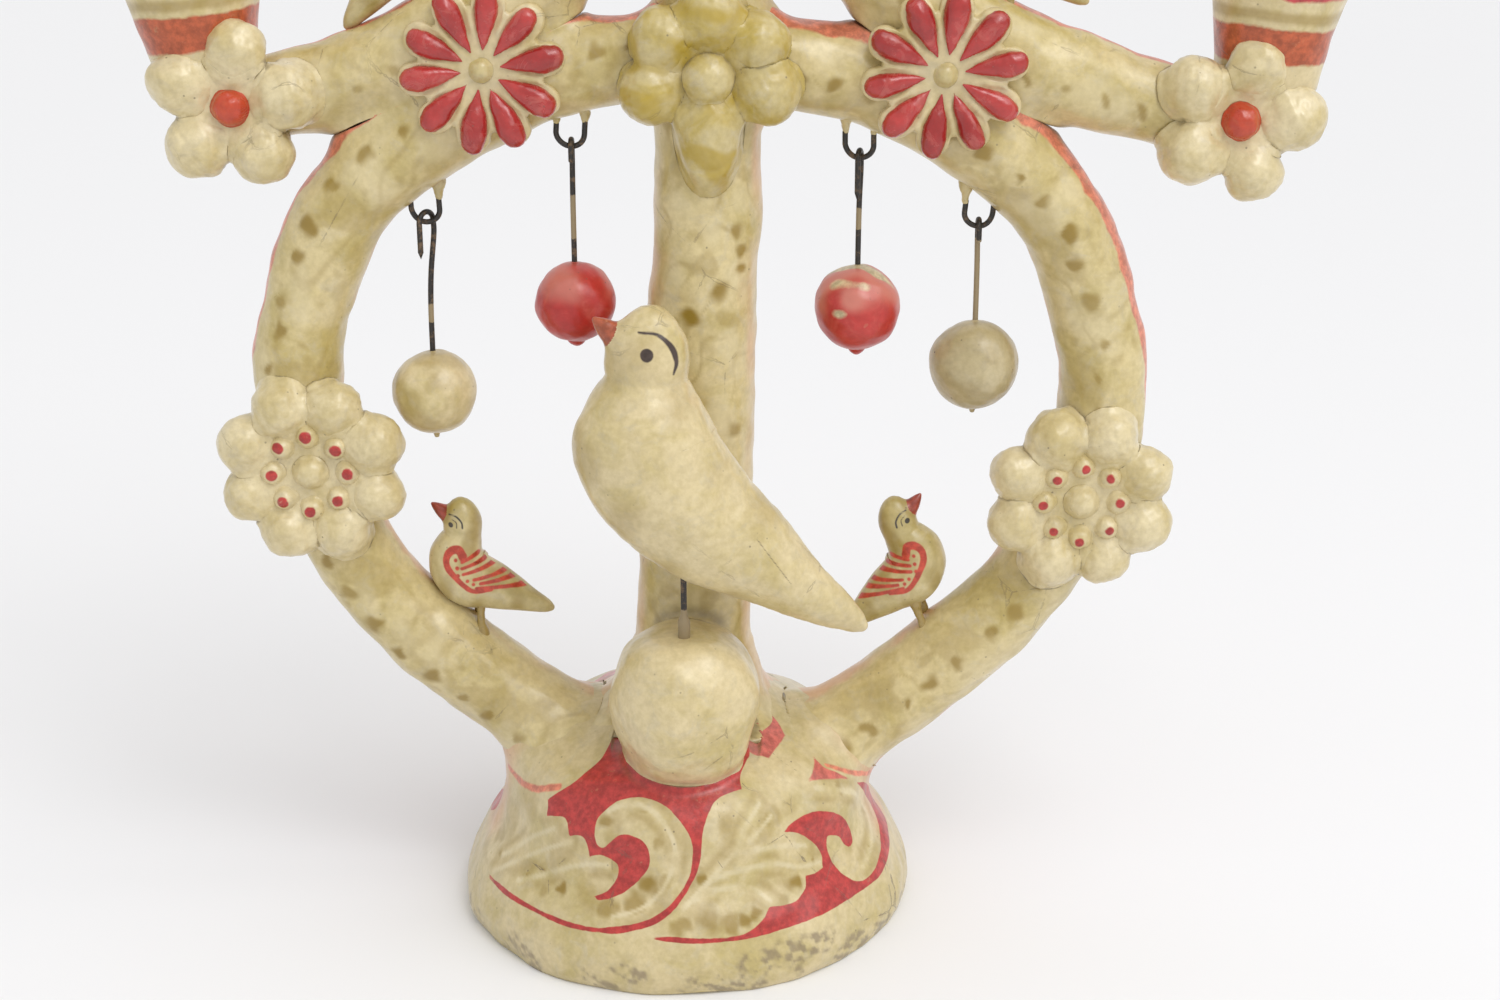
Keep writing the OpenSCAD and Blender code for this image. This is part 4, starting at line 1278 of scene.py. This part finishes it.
def ring(count, radius, height, start=0.0):
    """Places round a flower."""
    a = np.radians(start + 360 * np.arange(count) / count)
    return np.stack([radius * np.cos(a), radius * np.sin(a), height + 0 * a], 1)


def lobes(origin, centres, radius, plate, behind, spacing, seed):
    """Ball-shaped petals, each its own skin, that run into each other, the plate and the clay behind."""
    made = []
    for i, centre in enumerate(centres):
        around = nearest(balls_field([c for k, c in enumerate(centres) if k != i], radius), plate)
        size = radius * (1 + 0.05 * np.sin(seed + 2.3 * i))
        p = ball_grid(centre, size, spacing)
        far = lambda q: np.minimum(around(q), behind(q @ FACING.T + origin))
        p = settle(p, balls_field(centre, size), far, PETAL_JOINT, sink=0.35)
        p = handmade(p, 0.45, 10, seed + i)
        made.append((p @ FACING.T + origin, {"crease": hollowness(p, grid_normals(p), far, 4.5)}))
    return made


def plate_skin(origin, radius, high, others, spacing, seed):
    """A flower's round back plate: its rim's outline carried round."""
    knots = [[0, -FLOWER_SINK], [radius - 1, -FLOWER_SINK], [radius, 1 - FLOWER_SINK],
             [radius, high - 1.2], [radius - 1.2, high], [0, high]]
    outline = even(np.array(knots, float), spacing)
    outline[[0, -1], 0] = 0
    p, _, _ = turned_grid(outline, spacing, np.zeros(3))
    own = puck_field(radius, -FLOWER_SINK, high)
    p = settle(p, own, others, PETAL_JOINT, sink=0.35)
    p = handmade(p, 0.3, 12, seed)
    return p @ FACING.T + origin, {"crease": hollowness(p, grid_normals(p), others, 4.5)}


# Fillet between a flower's petals and its plate
PETAL_JOINT = 5.0


def domed_flower(origin, centres, radius, plate_r, high, behind, seed, extra=()):
    """The skins of a flower's domed petals and of the plate behind them."""
    plate = puck_field(plate_r, -FLOWER_SINK, high)
    balls = balls_field(centres, radius)
    step = FINE * 1.35 * GRAIN
    skins = lobes(origin, centres, radius, nearest(plate, *extra), behind, step, seed)
    skins.append(plate_skin(origin, plate_r, high, nearest(balls, *extra), step, seed))
    return skins


def knob(origin, centre, radius, around, seed, spacing, paint=None):
    """A little ball pressed onto a flower."""
    p = ball_grid(centre, radius, spacing)
    p = settle(p, balls_field(centre, radius), around, 1.6, sink=0.3)
    p = handmade(p, 0.18, 5, seed)
    marks = {"crease": hollowness(p, grid_normals(p), around, 3)}
    if paint:
        marks.update(paint(p))
    return p @ FACING.T + origin, marks


ROSETTE_R = 25
ROSETTE_DOME = 10.2


def rosette(side, behind, dot_r, faded):
    """Eight domed petals, and eight knobs with a painted dot round a boss."""
    origin = flower_origin(f"rosette_{side}_boss", 2)
    petals = ring(8, ROSETTE_R, 3 - 0.4 * ROSETTE_DOME, 22.5)
    knobs = ring(8, ROSETTE_R * 0.55, 3)
    plate = puck_field(ROSETTE_R, -FLOWER_SINK, 3)
    seed = 71 if side == "left" else 79
    skins = domed_flower(origin, petals, ROSETTE_DOME, ROSETTE_R, 3, behind, seed)
    piece(f"rosette_{side}_petals_clay", skins, petal_clay, "cream_clay", [f"rosette_{side}_petals"])
    step = FINE * 0.8 * GRAIN

    def dot(centre, wobble):
        def paint(p):
            gap = np.hypot(p[..., 0] - centre[0] - wobble[0], p[..., 1] - centre[1] - wobble[1]) - dot_r
            return {"red": gap + faded * 0.6}
        return paint

    rng = np.random.default_rng(7 if side == "left" else 8)
    made = [knob(origin, c, 4.2, plate, 80 + i, step, dot(c, rng.uniform(-0.7, 0.7, 2))) for i,
            c in enumerate(knobs)]
    piece(f"rosette_{side}_knobs_clay", made, petal_clay, "cream_clay", [f"rosette_{side}_knobs"])
    boss = knob(origin, np.array([0, 0, 2.0]), 6, plate, 90, step)
    piece(f"rosette_{side}_boss_clay", [boss], petal_clay, "cream_clay", [f"rosette_{side}_boss"])


rosette("left", clay["heart_left"], 2.1, 0)
rosette("right", clay["heart_right"], 1.9, 0.4)

DAISY_R = 28.5
DAISY_SCALLOP = 6
DAISY_START = 9


def daisy(side):
    """A scalloped pad with ten glossy drop-shaped petals and a small button."""
    origin = flower_origin(f"daisy_{side}_button", 2)
    spacing = 0.8 * GRAIN
    angle = np.linspace(-np.pi, np.pi, int(2 * np.pi * DAISY_R / (0.7 * GRAIN)), endpoint=False)
    centre_r = DAISY_R - DAISY_SCALLOP + 0.5
    nearest_petal = (angle - np.radians(DAISY_START) + np.radians(18)) % np.radians(36) - np.radians(18)
    reach = centre_r * np.cos(nearest_petal) + np.sqrt(np.maximum(DAISY_SCALLOP**2 -
                                                                  (centre_r * np.sin(nearest_petal)) ** 2,
                                                                  0))
    profile = [[0, -FLOWER_SINK], [0.93, -FLOWER_SINK], [0.985, -FLOWER_SINK + 1], [1.0, -1], [0.99, 1.2],
               [0.95, 2.1], [0.88, 2.5], [0.6, 2.3], [0, 2.3]]
    t = even(np.array(profile) * [DAISY_R, 1], spacing) / [DAISY_R, 1]
    t[[0, -1], 0] = 0
    rim = t[:, 0][:, None] * reach
    p = np.stack([rim * np.cos(angle), rim * np.sin(angle), t[:, 1][:, None] + 0 * angle], 2)
    lift = 0.9 * ease((rim - 8) / 8) * ease(1 - np.abs(np.abs(nearest_petal) - np.radians(18)) *
                                            rim / 2.2) * (p[..., 2] > 1)
    p[..., 2] += lift
    p = handmade(p, 0.3, 14, 11)
    # Painted shade in the grooves between the raised petal ridges
    groove_shade = 0.9 * ease(1 - (rim - 3) / (centre_r + 8)) * (p[..., 2] > 1) * ease(1.2 -
                                                                                  np.abs(nearest_petal) *
                                                                                  rim / 5.5)
    piece(f"daisy_{side}_pad_clay", [(p @ FACING.T + origin, {"crease": 0.55 * groove_shade})], cream_clay,
          "cream_clay", [f"daisy_{side}_pad"])
    length = DAISY_R - 6.5 - 1.1
    share = np.linspace(0.02, 0.86, 50)
    rng = np.random.default_rng(13 if side == "left" else 14)
    skins = []
    for k in range(10):
        stretch, girth = rng.uniform(0.93, 1.03), rng.uniform(0.92, 1.08)
        fat = 4.4 * girth * share**0.9 * np.sqrt(1 - share**3) / 0.59
        line = np.stack([6.5 + length * stretch * share, 0 * share, fat], 1)
        q, _, _ = rod_grid(line, FINE * GRAIN, wide=0.86)
        q = handmade(q, 0.22, 7, 100 + k)
        q = np.stack([q[..., 0], q[..., 2], -q[..., 1] + 2.6], 2)
        a = np.radians(DAISY_START + 36 * k + rng.uniform(-2, 2))
        c, s = np.cos(a), np.sin(a)
        q = np.stack([c * q[..., 0] - s * q[..., 1], s * q[..., 0] + c * q[..., 1], q[..., 2]], 2)
        # Painted shade where each petal meets the pad
        skins.append((q @ FACING.T + origin, {"crease": 0.6 * ease(1 - (q[..., 2] - 2) / 1.6)}))
    piece(f"daisy_{side}_petals_clay", skins, crimson_clay, "crimson_glaze", [f"daisy_{side}_petals"])
    button = knob(origin, np.array([0, 0, 2.0]), 3.6, puck_field(DAISY_R, -FLOWER_SINK, 2.4), 95,
                  FINE * 0.8 * GRAIN)
    piece(f"daisy_{side}_button_clay", [button], olive_clay, "olive_clay", [f"daisy_{side}_button"])


daisy("left")
daisy("right")

CUP_FLOWER_R = 19.4
CUP_FLOWER_DOME = 10.8


def cup_flower(side, start, behind, seed):
    """Five domed petals round an orange button, at the foot of a candle cup."""
    origin = flower_origin(f"cup_flower_{side}_button", 2)
    petals = ring(5, CUP_FLOWER_R, 2 - 0.4 * CUP_FLOWER_DOME, start)
    skins = domed_flower(origin, petals, CUP_FLOWER_DOME, CUP_FLOWER_R - 2, 2, behind, seed)
    piece(f"cup_flower_{side}_petals_clay", skins, petal_clay, "cream_clay", [f"cup_flower_{side}_petals"])
    around = nearest(puck_field(CUP_FLOWER_R - 2, -FLOWER_SINK, 2), balls_field(petals, CUP_FLOWER_DOME))
    button = knob(origin, np.array([0, 0, 2.0]), 6.2, around, seed, FINE * GRAIN)
    piece(f"cup_flower_{side}_button_clay", [button], button_clay, "orange_button",
          [f"cup_flower_{side}_button"])


cup_flower("left", 83, clay["arm_left"], 111)
cup_flower("right", 73, clay["arm_right"], 117)
cup_flower("top", 90, clay["trunk"], 123)

CENTRE_R = 20.5
CENTRE_DOME = 11
CENTRE_ANGLES = [34, 88, 141, 196, 346]


def centre_flower():
    """Five domed petals, a long one that hangs down the trunk, and a button."""
    origin = flower_origin("centre_flower_button", 3)
    a = np.radians(CENTRE_ANGLES)
    petals = np.stack([CENTRE_R * np.cos(a), CENTRE_R * np.sin(a), 3 - 0.4 * CENTRE_DOME + 0 * a], 1)
    behind = nearest(clay["trunk"], clay["heart_left"], clay["heart_right"])
    t = np.linspace(0.02, 0.985, 60)
    t = 0.92 * t
    past = np.maximum(t - 0.35, 0) / 0.68
    girth = 11.4 * np.minimum(0.55 + 0.45 * ease(t / 0.4), np.sqrt(np.maximum(1 - past**2, 0.01)))
    fall = np.stack([0 * t, -4 - 32 * t, girth], 1)
    long_own = rod_field(fall[::3], y=1.0)

    def local(p):
        """A flower's own points in the axes of a rod, which lies in x and z."""
        return np.stack([p[..., 0], -p[..., 2], p[..., 1]], -1)

    long_field = lambda p: long_own(local(p))
    skins = domed_flower(origin, petals, CENTRE_DOME, CENTRE_R - 2, 3, behind, 131, [long_field])
    q, _, _ = rod_grid(fall, FINE * 1.3 * GRAIN, y=1.0)
    q = np.stack([q[..., 0], q[..., 2], -q[..., 1]], 2)
    around = nearest(puck_field(CENTRE_R - 2, -FLOWER_SINK, 3), balls_field(petals, CENTRE_DOME),
                     lambda p: behind(p @ FACING.T + origin))
    q = settle(q, long_field, around, PETAL_JOINT, sink=0.35)
    q = handmade(q, 0.35, 14, 137)
    skins.append((q @ FACING.T + origin, {"crease": hollowness(q, grid_normals(q), around, 4.5)}))
    shaded = []
    for i, (p, paint) in enumerate(skins):
        flat = p.reshape(-1, 3)
        paint["ochre"] = 0.9 * ease(0.2 + wander(flat, 13, 141).reshape(p.shape[:2])) * (0.4 + 0.6 *
                                                                                         ((i * 3) % 4 > 0))
        shaded.append((p, paint))
    piece("centre_flower_petals_clay", shaded, olive_clay, "olive_clay", ["centre_flower_petals"])
    around = nearest(puck_field(CENTRE_R - 2, -FLOWER_SINK, 3), balls_field(petals, CENTRE_DOME),
                     long_field)
    button = knob(origin, np.array([0, 0, 3.0]), 9, around, 143, FINE * GRAIN)
    piece("centre_flower_button_clay", [button], olive_clay, "olive_clay", ["centre_flower_button"])


centre_flower()


# ---- birds ----------------------------------------------------------------------------

DOVE = [
    [-10, 92.5, 0.8], [-11, 88.5, 8.5], [-11.5, 79, 14.2], [-12, 69, 14.2], [-12.5, 59, 18.3],
    [-13, 47, 24.5], [-6, 33, 24.8], [6, 20, 22], [21, 9, 18], [36, -2.5, 13],
    [50, -12.5, 8.5], [59, -18.5, 5], [63.5, -21.5, 2.2],
]
BIRD = [
    [-5.4, 39.8, 0.6], [-5.3, 37.6, 4.7], [-4.8, 32.8, 7.2], [-5.4, 26.2, 7.5], [-7.6, 18.6, 10.3],
    [-4.7, 11.5, 11.4], [4.9, 7.2, 9], [15.4, 2.9, 6.1], [23.5, -0.4, 3.3], [27, -1.8, 1.3],
]


def body_and_beak(knots, wide, beak, spacing, fillet, uneven, seed, paint):
    """A bird in its own axes: its body as a rod, and its beak as a short one that runs into it."""
    body_line, beak_line = curve(knots, 160), curve(beak, 30)
    body_own, beak_own = rod_field(body_line[::2], wide=wide), rod_field(beak_line[::2])
    skins = []
    for line, own, other, span in ((body_line, body_own, beak_own, wide),
                                   (beak_line, beak_own, body_own, 1.0)):
        p, _, _ = rod_grid(line, spacing, wide=span)
        p = settle(drawn_to(p, own), own, other, fillet, sink=0.2)
        marks = paint(p, own is beak_own)
        p = handmade(p, uneven, 24, seed)
        marks["crease"] = hollowness(p, grid_normals(p), other, 3)
        skins.append((p, marks))
    return skins


DOVE_WIDE = 0.86
DOVE_BROW = [(-14, 89.5), (-8, 89), (-3, 84.5), (-1.2, 79), (-2.2, 75)]
DOVE_WING_LINE = [(26, 17), (32, 8), (38, -1)]


def dove_paint(p, is_beak):
    x, z = p[..., 0], p[..., 2]
    flat = p.reshape(-1, 3)
    brow = stroke(x, z, curve(DOVE_BROW, 16), (0.34, 0.42)) + 0.55 * ease(np.abs(z - 83) / 9) - 0.5
    eye = np.hypot(x + 11.2, z - 82.3) - 2.3
    wing = stroke(x, z, curve(DOVE_WING_LINE, 10), (0.15, 0.1))
    mottle = 0.35 * ease(0.1 + wander(flat, 30, 151).reshape(x.shape))
    return {"dark": np.minimum.reduce([brow, eye, wing]), "ochre": mottle,
            "beak": np.full(x.shape, -9.0 if is_beak else 9.0)}


def dove():
    """The dove stands on its wire, in front of the trunk, and faces left."""
    wire_low, wire_high = box("dove_wire")
    origin = np.array([(wire_low[0] + wire_high[0]) / 2, (wire_low[1] + wire_high[1]) / 2,
                       wire_high[2] - 7])
    beak = np.array([[-18.5, 82.8, 5.0], [-21, 85, 5.0], [-25, 88.2, 3.4], [-28.6, 91.2, 1.3],
                     [-29.4, 91.9, 0.5]])
    skins = body_and_beak(DOVE, DOVE_WIDE, beak, 0.72 * GRAIN, 2.5, 0.6, 161, dove_paint)
    piece("dove_clay", [(p + origin, marks) for p, marks in skins], cream_clay, "cream_clay", ["dove"])


dove()

BIRD_WIDE = 0.9
BEAK = np.array([[-8.6, 34.6, 3.3], [-11.2, 36.3, 3.0], [-14.2, 38.6, 1.6], [-15.9, 39.9, 0.5]])
LEG_H = 6.3
WIRE_SET = 9
# A small bird's wing, in its own x and z, with its feet's middle at the origin
WING_COMMA = [(-3.4, 22.4), (-5.3, 25.4), (-8.2, 25.4), (-10.6, 23.3), (-11.3, 20.4), (-10.1, 17.1),
              (-6.8, 13.3), (-2.9, 9.5), (1.4, 7.1), (9, 7.4)]
WING_DOTS = [(-6.8, 21.2), (-6.1, 17.8), (-5.8, 14.5), (-1.5, 11.9), (1.1, 10.3)]
WING_STROKES = [
    [(-3.9, 20.2), (3.2, 22.9)], [(-3.9, 17.6), (8.5, 20.5)], [(-3.4, 15), (13.3, 18.1)],
    [(1.4, 12.3), (20, 14.5)], [(4.2, 10.4), (24.6, 11.6)], [(2.3, 8.5), (25.7, 7.5)],
]


def bird_paint(p, is_beak):
    """Wing, eye and brow of a small bird."""
    x, z = p[..., 0], p[..., 2]
    # The wing's drawing is larger than the body, so it is drawn in to fit it
    wx, wz = (x + 7.6) / 0.80 - 7.6, (z - 17) / 0.86 + 17
    comma = stroke(wx, wz, curve(WING_COMMA, 40), (1.9, 0.9))
    marks = [comma] + [np.hypot(wx - a, wz - b) - 0.9 for a, b in WING_DOTS]
    marks += [stroke(wx, wz, line, (0.75, 1.0)) for line in WING_STROKES]
    eye = np.hypot(x + 8.6, z - 33.4) - 1.0
    lid = stroke(x, z, curve([(-8.0, 35.4), (-6.4, 34.4), (-6.3, 32.4)], 10), (0.18, 0.2))
    brow = stroke(x, z, curve([(-9.2, 37.0), (-6.6, 36.6), (-4.5, 34.6), (-4.2, 32.4)], 14), (0.28, 0.34))
    flat = p.reshape(-1, 3)
    side = np.abs(p[..., 1]) > 1.2
    return {
        "red": np.where(side, 0.8 * np.minimum.reduce(marks), 9.0),
        "dark": np.where(side, np.minimum.reduce([eye, lid, brow]), 9.0),
        "ochre": 0.5 * ease(0.15 + wander(flat, 12, 171).reshape(x.shape)),
        "beak": np.full(x.shape, -9.0 if is_beak else 9.0),
    }


def perch(knots, s, left, lift):
    """Origin and axes of a bird that stands on a rod at place s, tipped back by lift degrees."""
    near = curve(knots, 100 * (len(knots) - 1) + 1)
    i = int(round(100 * s))
    way = near[min(i + 2, len(near) - 1)][:2] - near[i - 2][:2]
    rise = near[i][2] / abs(way[0] / np.hypot(*way))
    a = np.radians(lift)
    tip = np.array([[np.cos(a), 0, np.sin(a)], [0, 1, 0], [-np.sin(a), 0, np.cos(a)]])
    mirror = np.diag([1.0 if left else -1.0, 1, 1])
    return np.array([near[i][0], 0, near[i][1] + rise + LEG_H]), mirror @ tip


def small_bird(name, knots, s, left, lift, back=0.0, raised=0.0):
    """A small bird and its two legs."""
    origin, turn = perch(knots, s, left, lift)
    shift = np.array([back, 0, raised])
    skins = body_and_beak(BIRD, BIRD_WIDE, BEAK, 0.45 * GRAIN, 1.6, 0.3, 181, bird_paint)
    placed_skins = [((p + shift) @ turn.T + origin, marks) for p, marks in skins]
    piece(f"{name}_clay", placed_skins, bird_clay, "painted_bird", [name])
    legs = []
    for side in (-1, 1):
        foot, hip = -LEG_H * 1.2 - WIRE_SET, 5.0 + raised
        z = np.linspace(foot, hip, 40)
        r = 1.5 + 1.3 * ease((-LEG_H * 0.9 - z) / 4) + 0.9 * ease((z - 0.5) / 3)
        line = np.stack([np.full(40, -side * 1.0), z, r], 1)
        q, _, _ = rod_grid(line, FINE * GRAIN, y=side * 4.0)
        # A little of the painted crease shade, the same all over the legs
        legs.append((handmade(q, 0.2, 6, 190 + side) @ turn.T + origin, {"crease": 0.35, "ochre": 0.8}))
    piece(f"{name}_legs_clay", legs, cream_clay, "cream_clay", [f"{name}_legs"])


LOWER_PLACE = 1.74
small_bird("lower_bird_left", heart_left, LOWER_PLACE, True, 0)
small_bird("lower_bird_right", heart_right, LOWER_PLACE - 0.06, False, 18, back=3, raised=3.5)
small_bird("upper_bird_left", arm_left, 5.35, False, 30)
small_bird("upper_bird_right", arm_right, 4.95, True, 12)


# ---- wires and balls ------------------------------------------------------------------

WIRE_R = 1.0
EYE_DROP = 11.5
EYE_SET = 6
HOOK_TURNS = [55, 90, 75, 90]
HOOK_BENDS = [3.6, 2.4, 2.6, 2.4]
HOOK_TAILS = [13, 6, 15, 6]


def slipped(points, start, end, amount=1.0):
    """How much clay slip is left on a wire, between two heights."""
    z = points[..., 2]
    return amount * ease((z - start) / 3) * ease((end - z) / 3)


def eye(number):
    """A U of wire with both ends in the branch."""
    x, _, z = hinge(number)
    a = np.radians(np.arange(180, 361, 10))
    bend = np.stack([EYE_R * np.cos(a), 0 * a, EYE_R + EYE_R * np.sin(a)], 1)
    bow = np.array([x, 0, z])
    ends = EYE_DROP + EYE_SET - 2
    line = np.vstack([[[-EYE_R, 0, ends]], [[-EYE_R, 0, EYE_R + 4]], bend, [[EYE_R, 0, EYE_R + 4]],
                      [[EYE_R, 0, ends]]]) + bow
    line[:, 0] += 0.25 * np.sin(line[:, 2] / 2.1 + number)
    p = tube_grid(line, WIRE_R, [0, 1, 0])
    piece(f"eye_{number}_wire", [(p, {"slip": 0.75 * ease((p[..., 2] - z - 7) / 4)})], wire_iron,
          "iron_wire", [f"eye_{number}"])


def hook(number, hang, ball_r):
    """A J of wire over the eye, down to its ball."""
    i = number - 1
    x, _, z = hinge(number)
    r = HOOK_BENDS[i]
    a = np.radians(np.arange(180, -1, -12))
    foot = ball_r - 5 - hang
    bend = np.stack([r * np.cos(a), r * np.sin(a)], 1)
    shank = curve([[r, 0], [r, -5], [r * 0.35, foot * 0.35], [0.25, foot * 0.6], [0, foot]], 26)
    tail = np.stack([np.full(6, -r), np.linspace(-HOOK_TAILS[i], -0.5, 6)], 1)
    flat = np.vstack([tail, bend, shank[1:]])
    turn = np.radians(HOOK_TURNS[i])
    way = np.array([np.cos(turn), np.sin(turn), 0])
    line = flat[:, :1] * way + flat[:, 1:] * np.array([0, 0, 1]) + [x, 0, z]
    side = np.array([-np.sin(turn), np.cos(turn), 0])
    p = tube_grid(line, WIRE_R, side)
    start = {1: z - hang * 0.60, 2: z - hang * 0.62, 3: z - hang * 0.50, 4: z - hang * 0.75}[number]
    end = {1: z - hang * 0.45, 2: z - hang * 0.28, 3: z - hang * 0.30, 4: z - 3}[number]
    piece(f"hook_{number}_wire", [(p, {"slip": slipped(p, start, end)})], wire_iron, "iron_wire",
          [f"hook_{number}"], f"hanging_ball_{number}")


def ball(number, material, slot, tip, marks):
    """A hanging ball: a round outline carried round, with a drop under it and clay up the wire."""
    low, high = box(f"ball_{number}_bead")
    r = (high[0] - low[0]) / 2
    centre = np.array([(low[0] + high[0]) / 2, (low[1] + high[1]) / 2, high[2] - r])
    drop = [[0, -r - 2.2], [0.9, -r - 2.0], [tip * 0.8, -r - 1.0], [tip + 0.6, -r + 0.7]]
    a = np.radians(np.linspace(-80, 84, 40))
    round_ = np.stack([r * np.cos(a), r * np.sin(a)], 1)
    outline = even(np.vstack([drop, round_, [[1.35, r + 0.0], [0.0, r + 0.9]]]), 0.62 * GRAIN)
    outline[[0, -1], 0] = 0
    p, _, _ = turned_grid(outline, 0.75 * GRAIN, centre)
    p = handmade(p, 0.35, 17, 200 + number)
    height = (p[..., 2] - centre[2]) / r
    # Darker round the very top, where the wire goes in
    paint = {"crease": 0.5 * ease((height - 0.93) / 0.05)}
    paint.update(marks(p - centre, height))
    piece(f"ball_{number}_clay", [(p, paint)], material, slot, [f"ball_{number}_bead"],
          f"hanging_ball_{number}")
    return hinge(number)[2] - centre[2], r


def plain_marks(p, height):
    flat = p.reshape(-1, 3)
    return {"ochre": 0.4 * ease(0.2 + wander(flat, 16, 211).reshape(height.shape))}


def grey_marks(p, height):
    flat = p.reshape(-1, 3)
    return {"ochre": 0.25 * ease(0.2 + wander(flat, 12, 212).reshape(height.shape)),
            "crease": 0.45 * ease(0.3 + wander(flat, 7, 213).reshape(height.shape))}


def red_marks(p, height):
    """Faded round the top."""
    flat = p.reshape(-1, 3)
    return {"fade": 0.75 * ease((height - 0.1 + 0.35 * wander(flat, 14, 214).reshape(height.shape)) / 0.9)}


def rose_marks(p, height):
    """Faded round the top, with a patch of bare cream at the front left."""
    flat = p.reshape(-1, 3)
    chip = np.hypot((p[..., 0] + 6.8) / 1.5, p[..., 2] - 1.0) - 1.5
    top = 4.5 * (0.80 - height) + 2.5 * wander(flat, 12, 216).reshape(height.shape)
    return {"fade": 0.9 * ease((height + 0.25 + 0.5 * wander(flat, 12, 215).reshape(height.shape)) / 1.1),
            "chip": np.where(p[..., 1] < 0, np.minimum(chip, top), top)}


for number, material, slot, tip, marks in (
    (1, cream_clay, "cream_clay", 1.4, plain_marks),
    (2, ball_clay, "red_painted_clay", 3.0, red_marks),
    (3, ball_clay, "red_painted_clay", 3.0, rose_marks),
    (4, stained_clay, "cream_clay", 1.4, grey_marks),
):
    eye(number)
    hook(number, *ball(number, material, slot, tip, marks))


def dove_wire():
    """The straight wire under the dove, with a sleeve of clay at its foot."""
    low, high = box("dove_wire")
    z = np.linspace(low[2], high[2], 40)
    x, y = (low[0] + high[0]) / 2, (low[1] + high[1]) / 2
    r = 1.1 + 1.1 * ease((bud_high[2] + 8 - z) / 3)
    line = np.stack([x + 0 * z, y + 0 * z, z], 1)
    p = tube_grid(line, r, [0, 1, 0], 18)
    piece("dove_wire_iron", [(p, {"slip": 1.4 * ease((bud_high[2] + 11 - p[..., 2]) / 3)})], wire_iron,
          "iron_wire", ["dove_wire"])


dove_wire()


# ---- floor, light and camera ----------------------------------------------------------


def floor():
    mesh = bpy.data.meshes.new("floor")
    half = 6.0
    mesh.from_pydata([(-half, -half, 0), (half, -half, 0), (half, half, 0), (-half, half, 0)], [],
                     [(0, 1, 2, 3)])
    mesh.materials.append(matte_paper())
    made = bpy.data.objects.new("floor", mesh)
    bpy.context.scene.collection.objects.link(made)
    made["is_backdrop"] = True


def soft_light(name, place, size, power, aim=(0, 0, 0.2)):
    lamp = bpy.data.lights.new(name, "AREA")
    lamp.shape = "RECTANGLE"
    lamp.size, lamp.size_y = size
    lamp.energy = power
    made = bpy.data.objects.new(name, lamp)
    made.location = place
    way = np.array(aim) - np.array(place)
    made.rotation_euler = look(way)
    bpy.context.scene.collection.objects.link(made)


def look(way):
    """Turn of a camera or lamp that looks along way, with +Z up."""
    flat = np.hypot(way[0], way[1])
    return (np.arctan2(flat, -way[2]), 0, np.arctan2(-way[0], way[1]))


floor()
daylight = bpy.data.lights.new("daylight", "SUN")
daylight.energy = 1.1
daylight.angle = np.radians(60)
from_window = bpy.data.objects.new("daylight", daylight)
from_window.rotation_euler = look((-0.55, 0.45, -0.9))
bpy.context.scene.collection.objects.link(from_window)
soft_light("lamp", (0.5, -0.7, 1.3), (0.5, 0.5), 3)

world = bpy.data.worlds.new("studio")
world.use_nodes = True
world.node_tree.nodes["Background"].inputs[0].default_value = (1.0, 1.0, 1.0, 1)
world.node_tree.nodes["Background"].inputs[1].default_value = 0.76
bpy.context.scene.world = world
bpy.context.scene.view_settings.view_transform = "Standard"

camera = bpy.data.cameras.new("camera")
camera.sensor_width = 36
camera.lens = 53.76
camera.clip_end = 50
viewer = bpy.data.objects.new("camera", camera)
viewer.location = (0.0059, -0.780, 0.4427)
viewer.rotation_euler = (np.radians(70), 0, 0)
bpy.context.scene.collection.objects.link(viewer)
bpy.context.scene.camera = viewer


def rows(bounds):
    return [[round(float(x), 6) for x in corner] for corner in bounds]


{"cad": rows(cad_box), "visual": rows(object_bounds())}
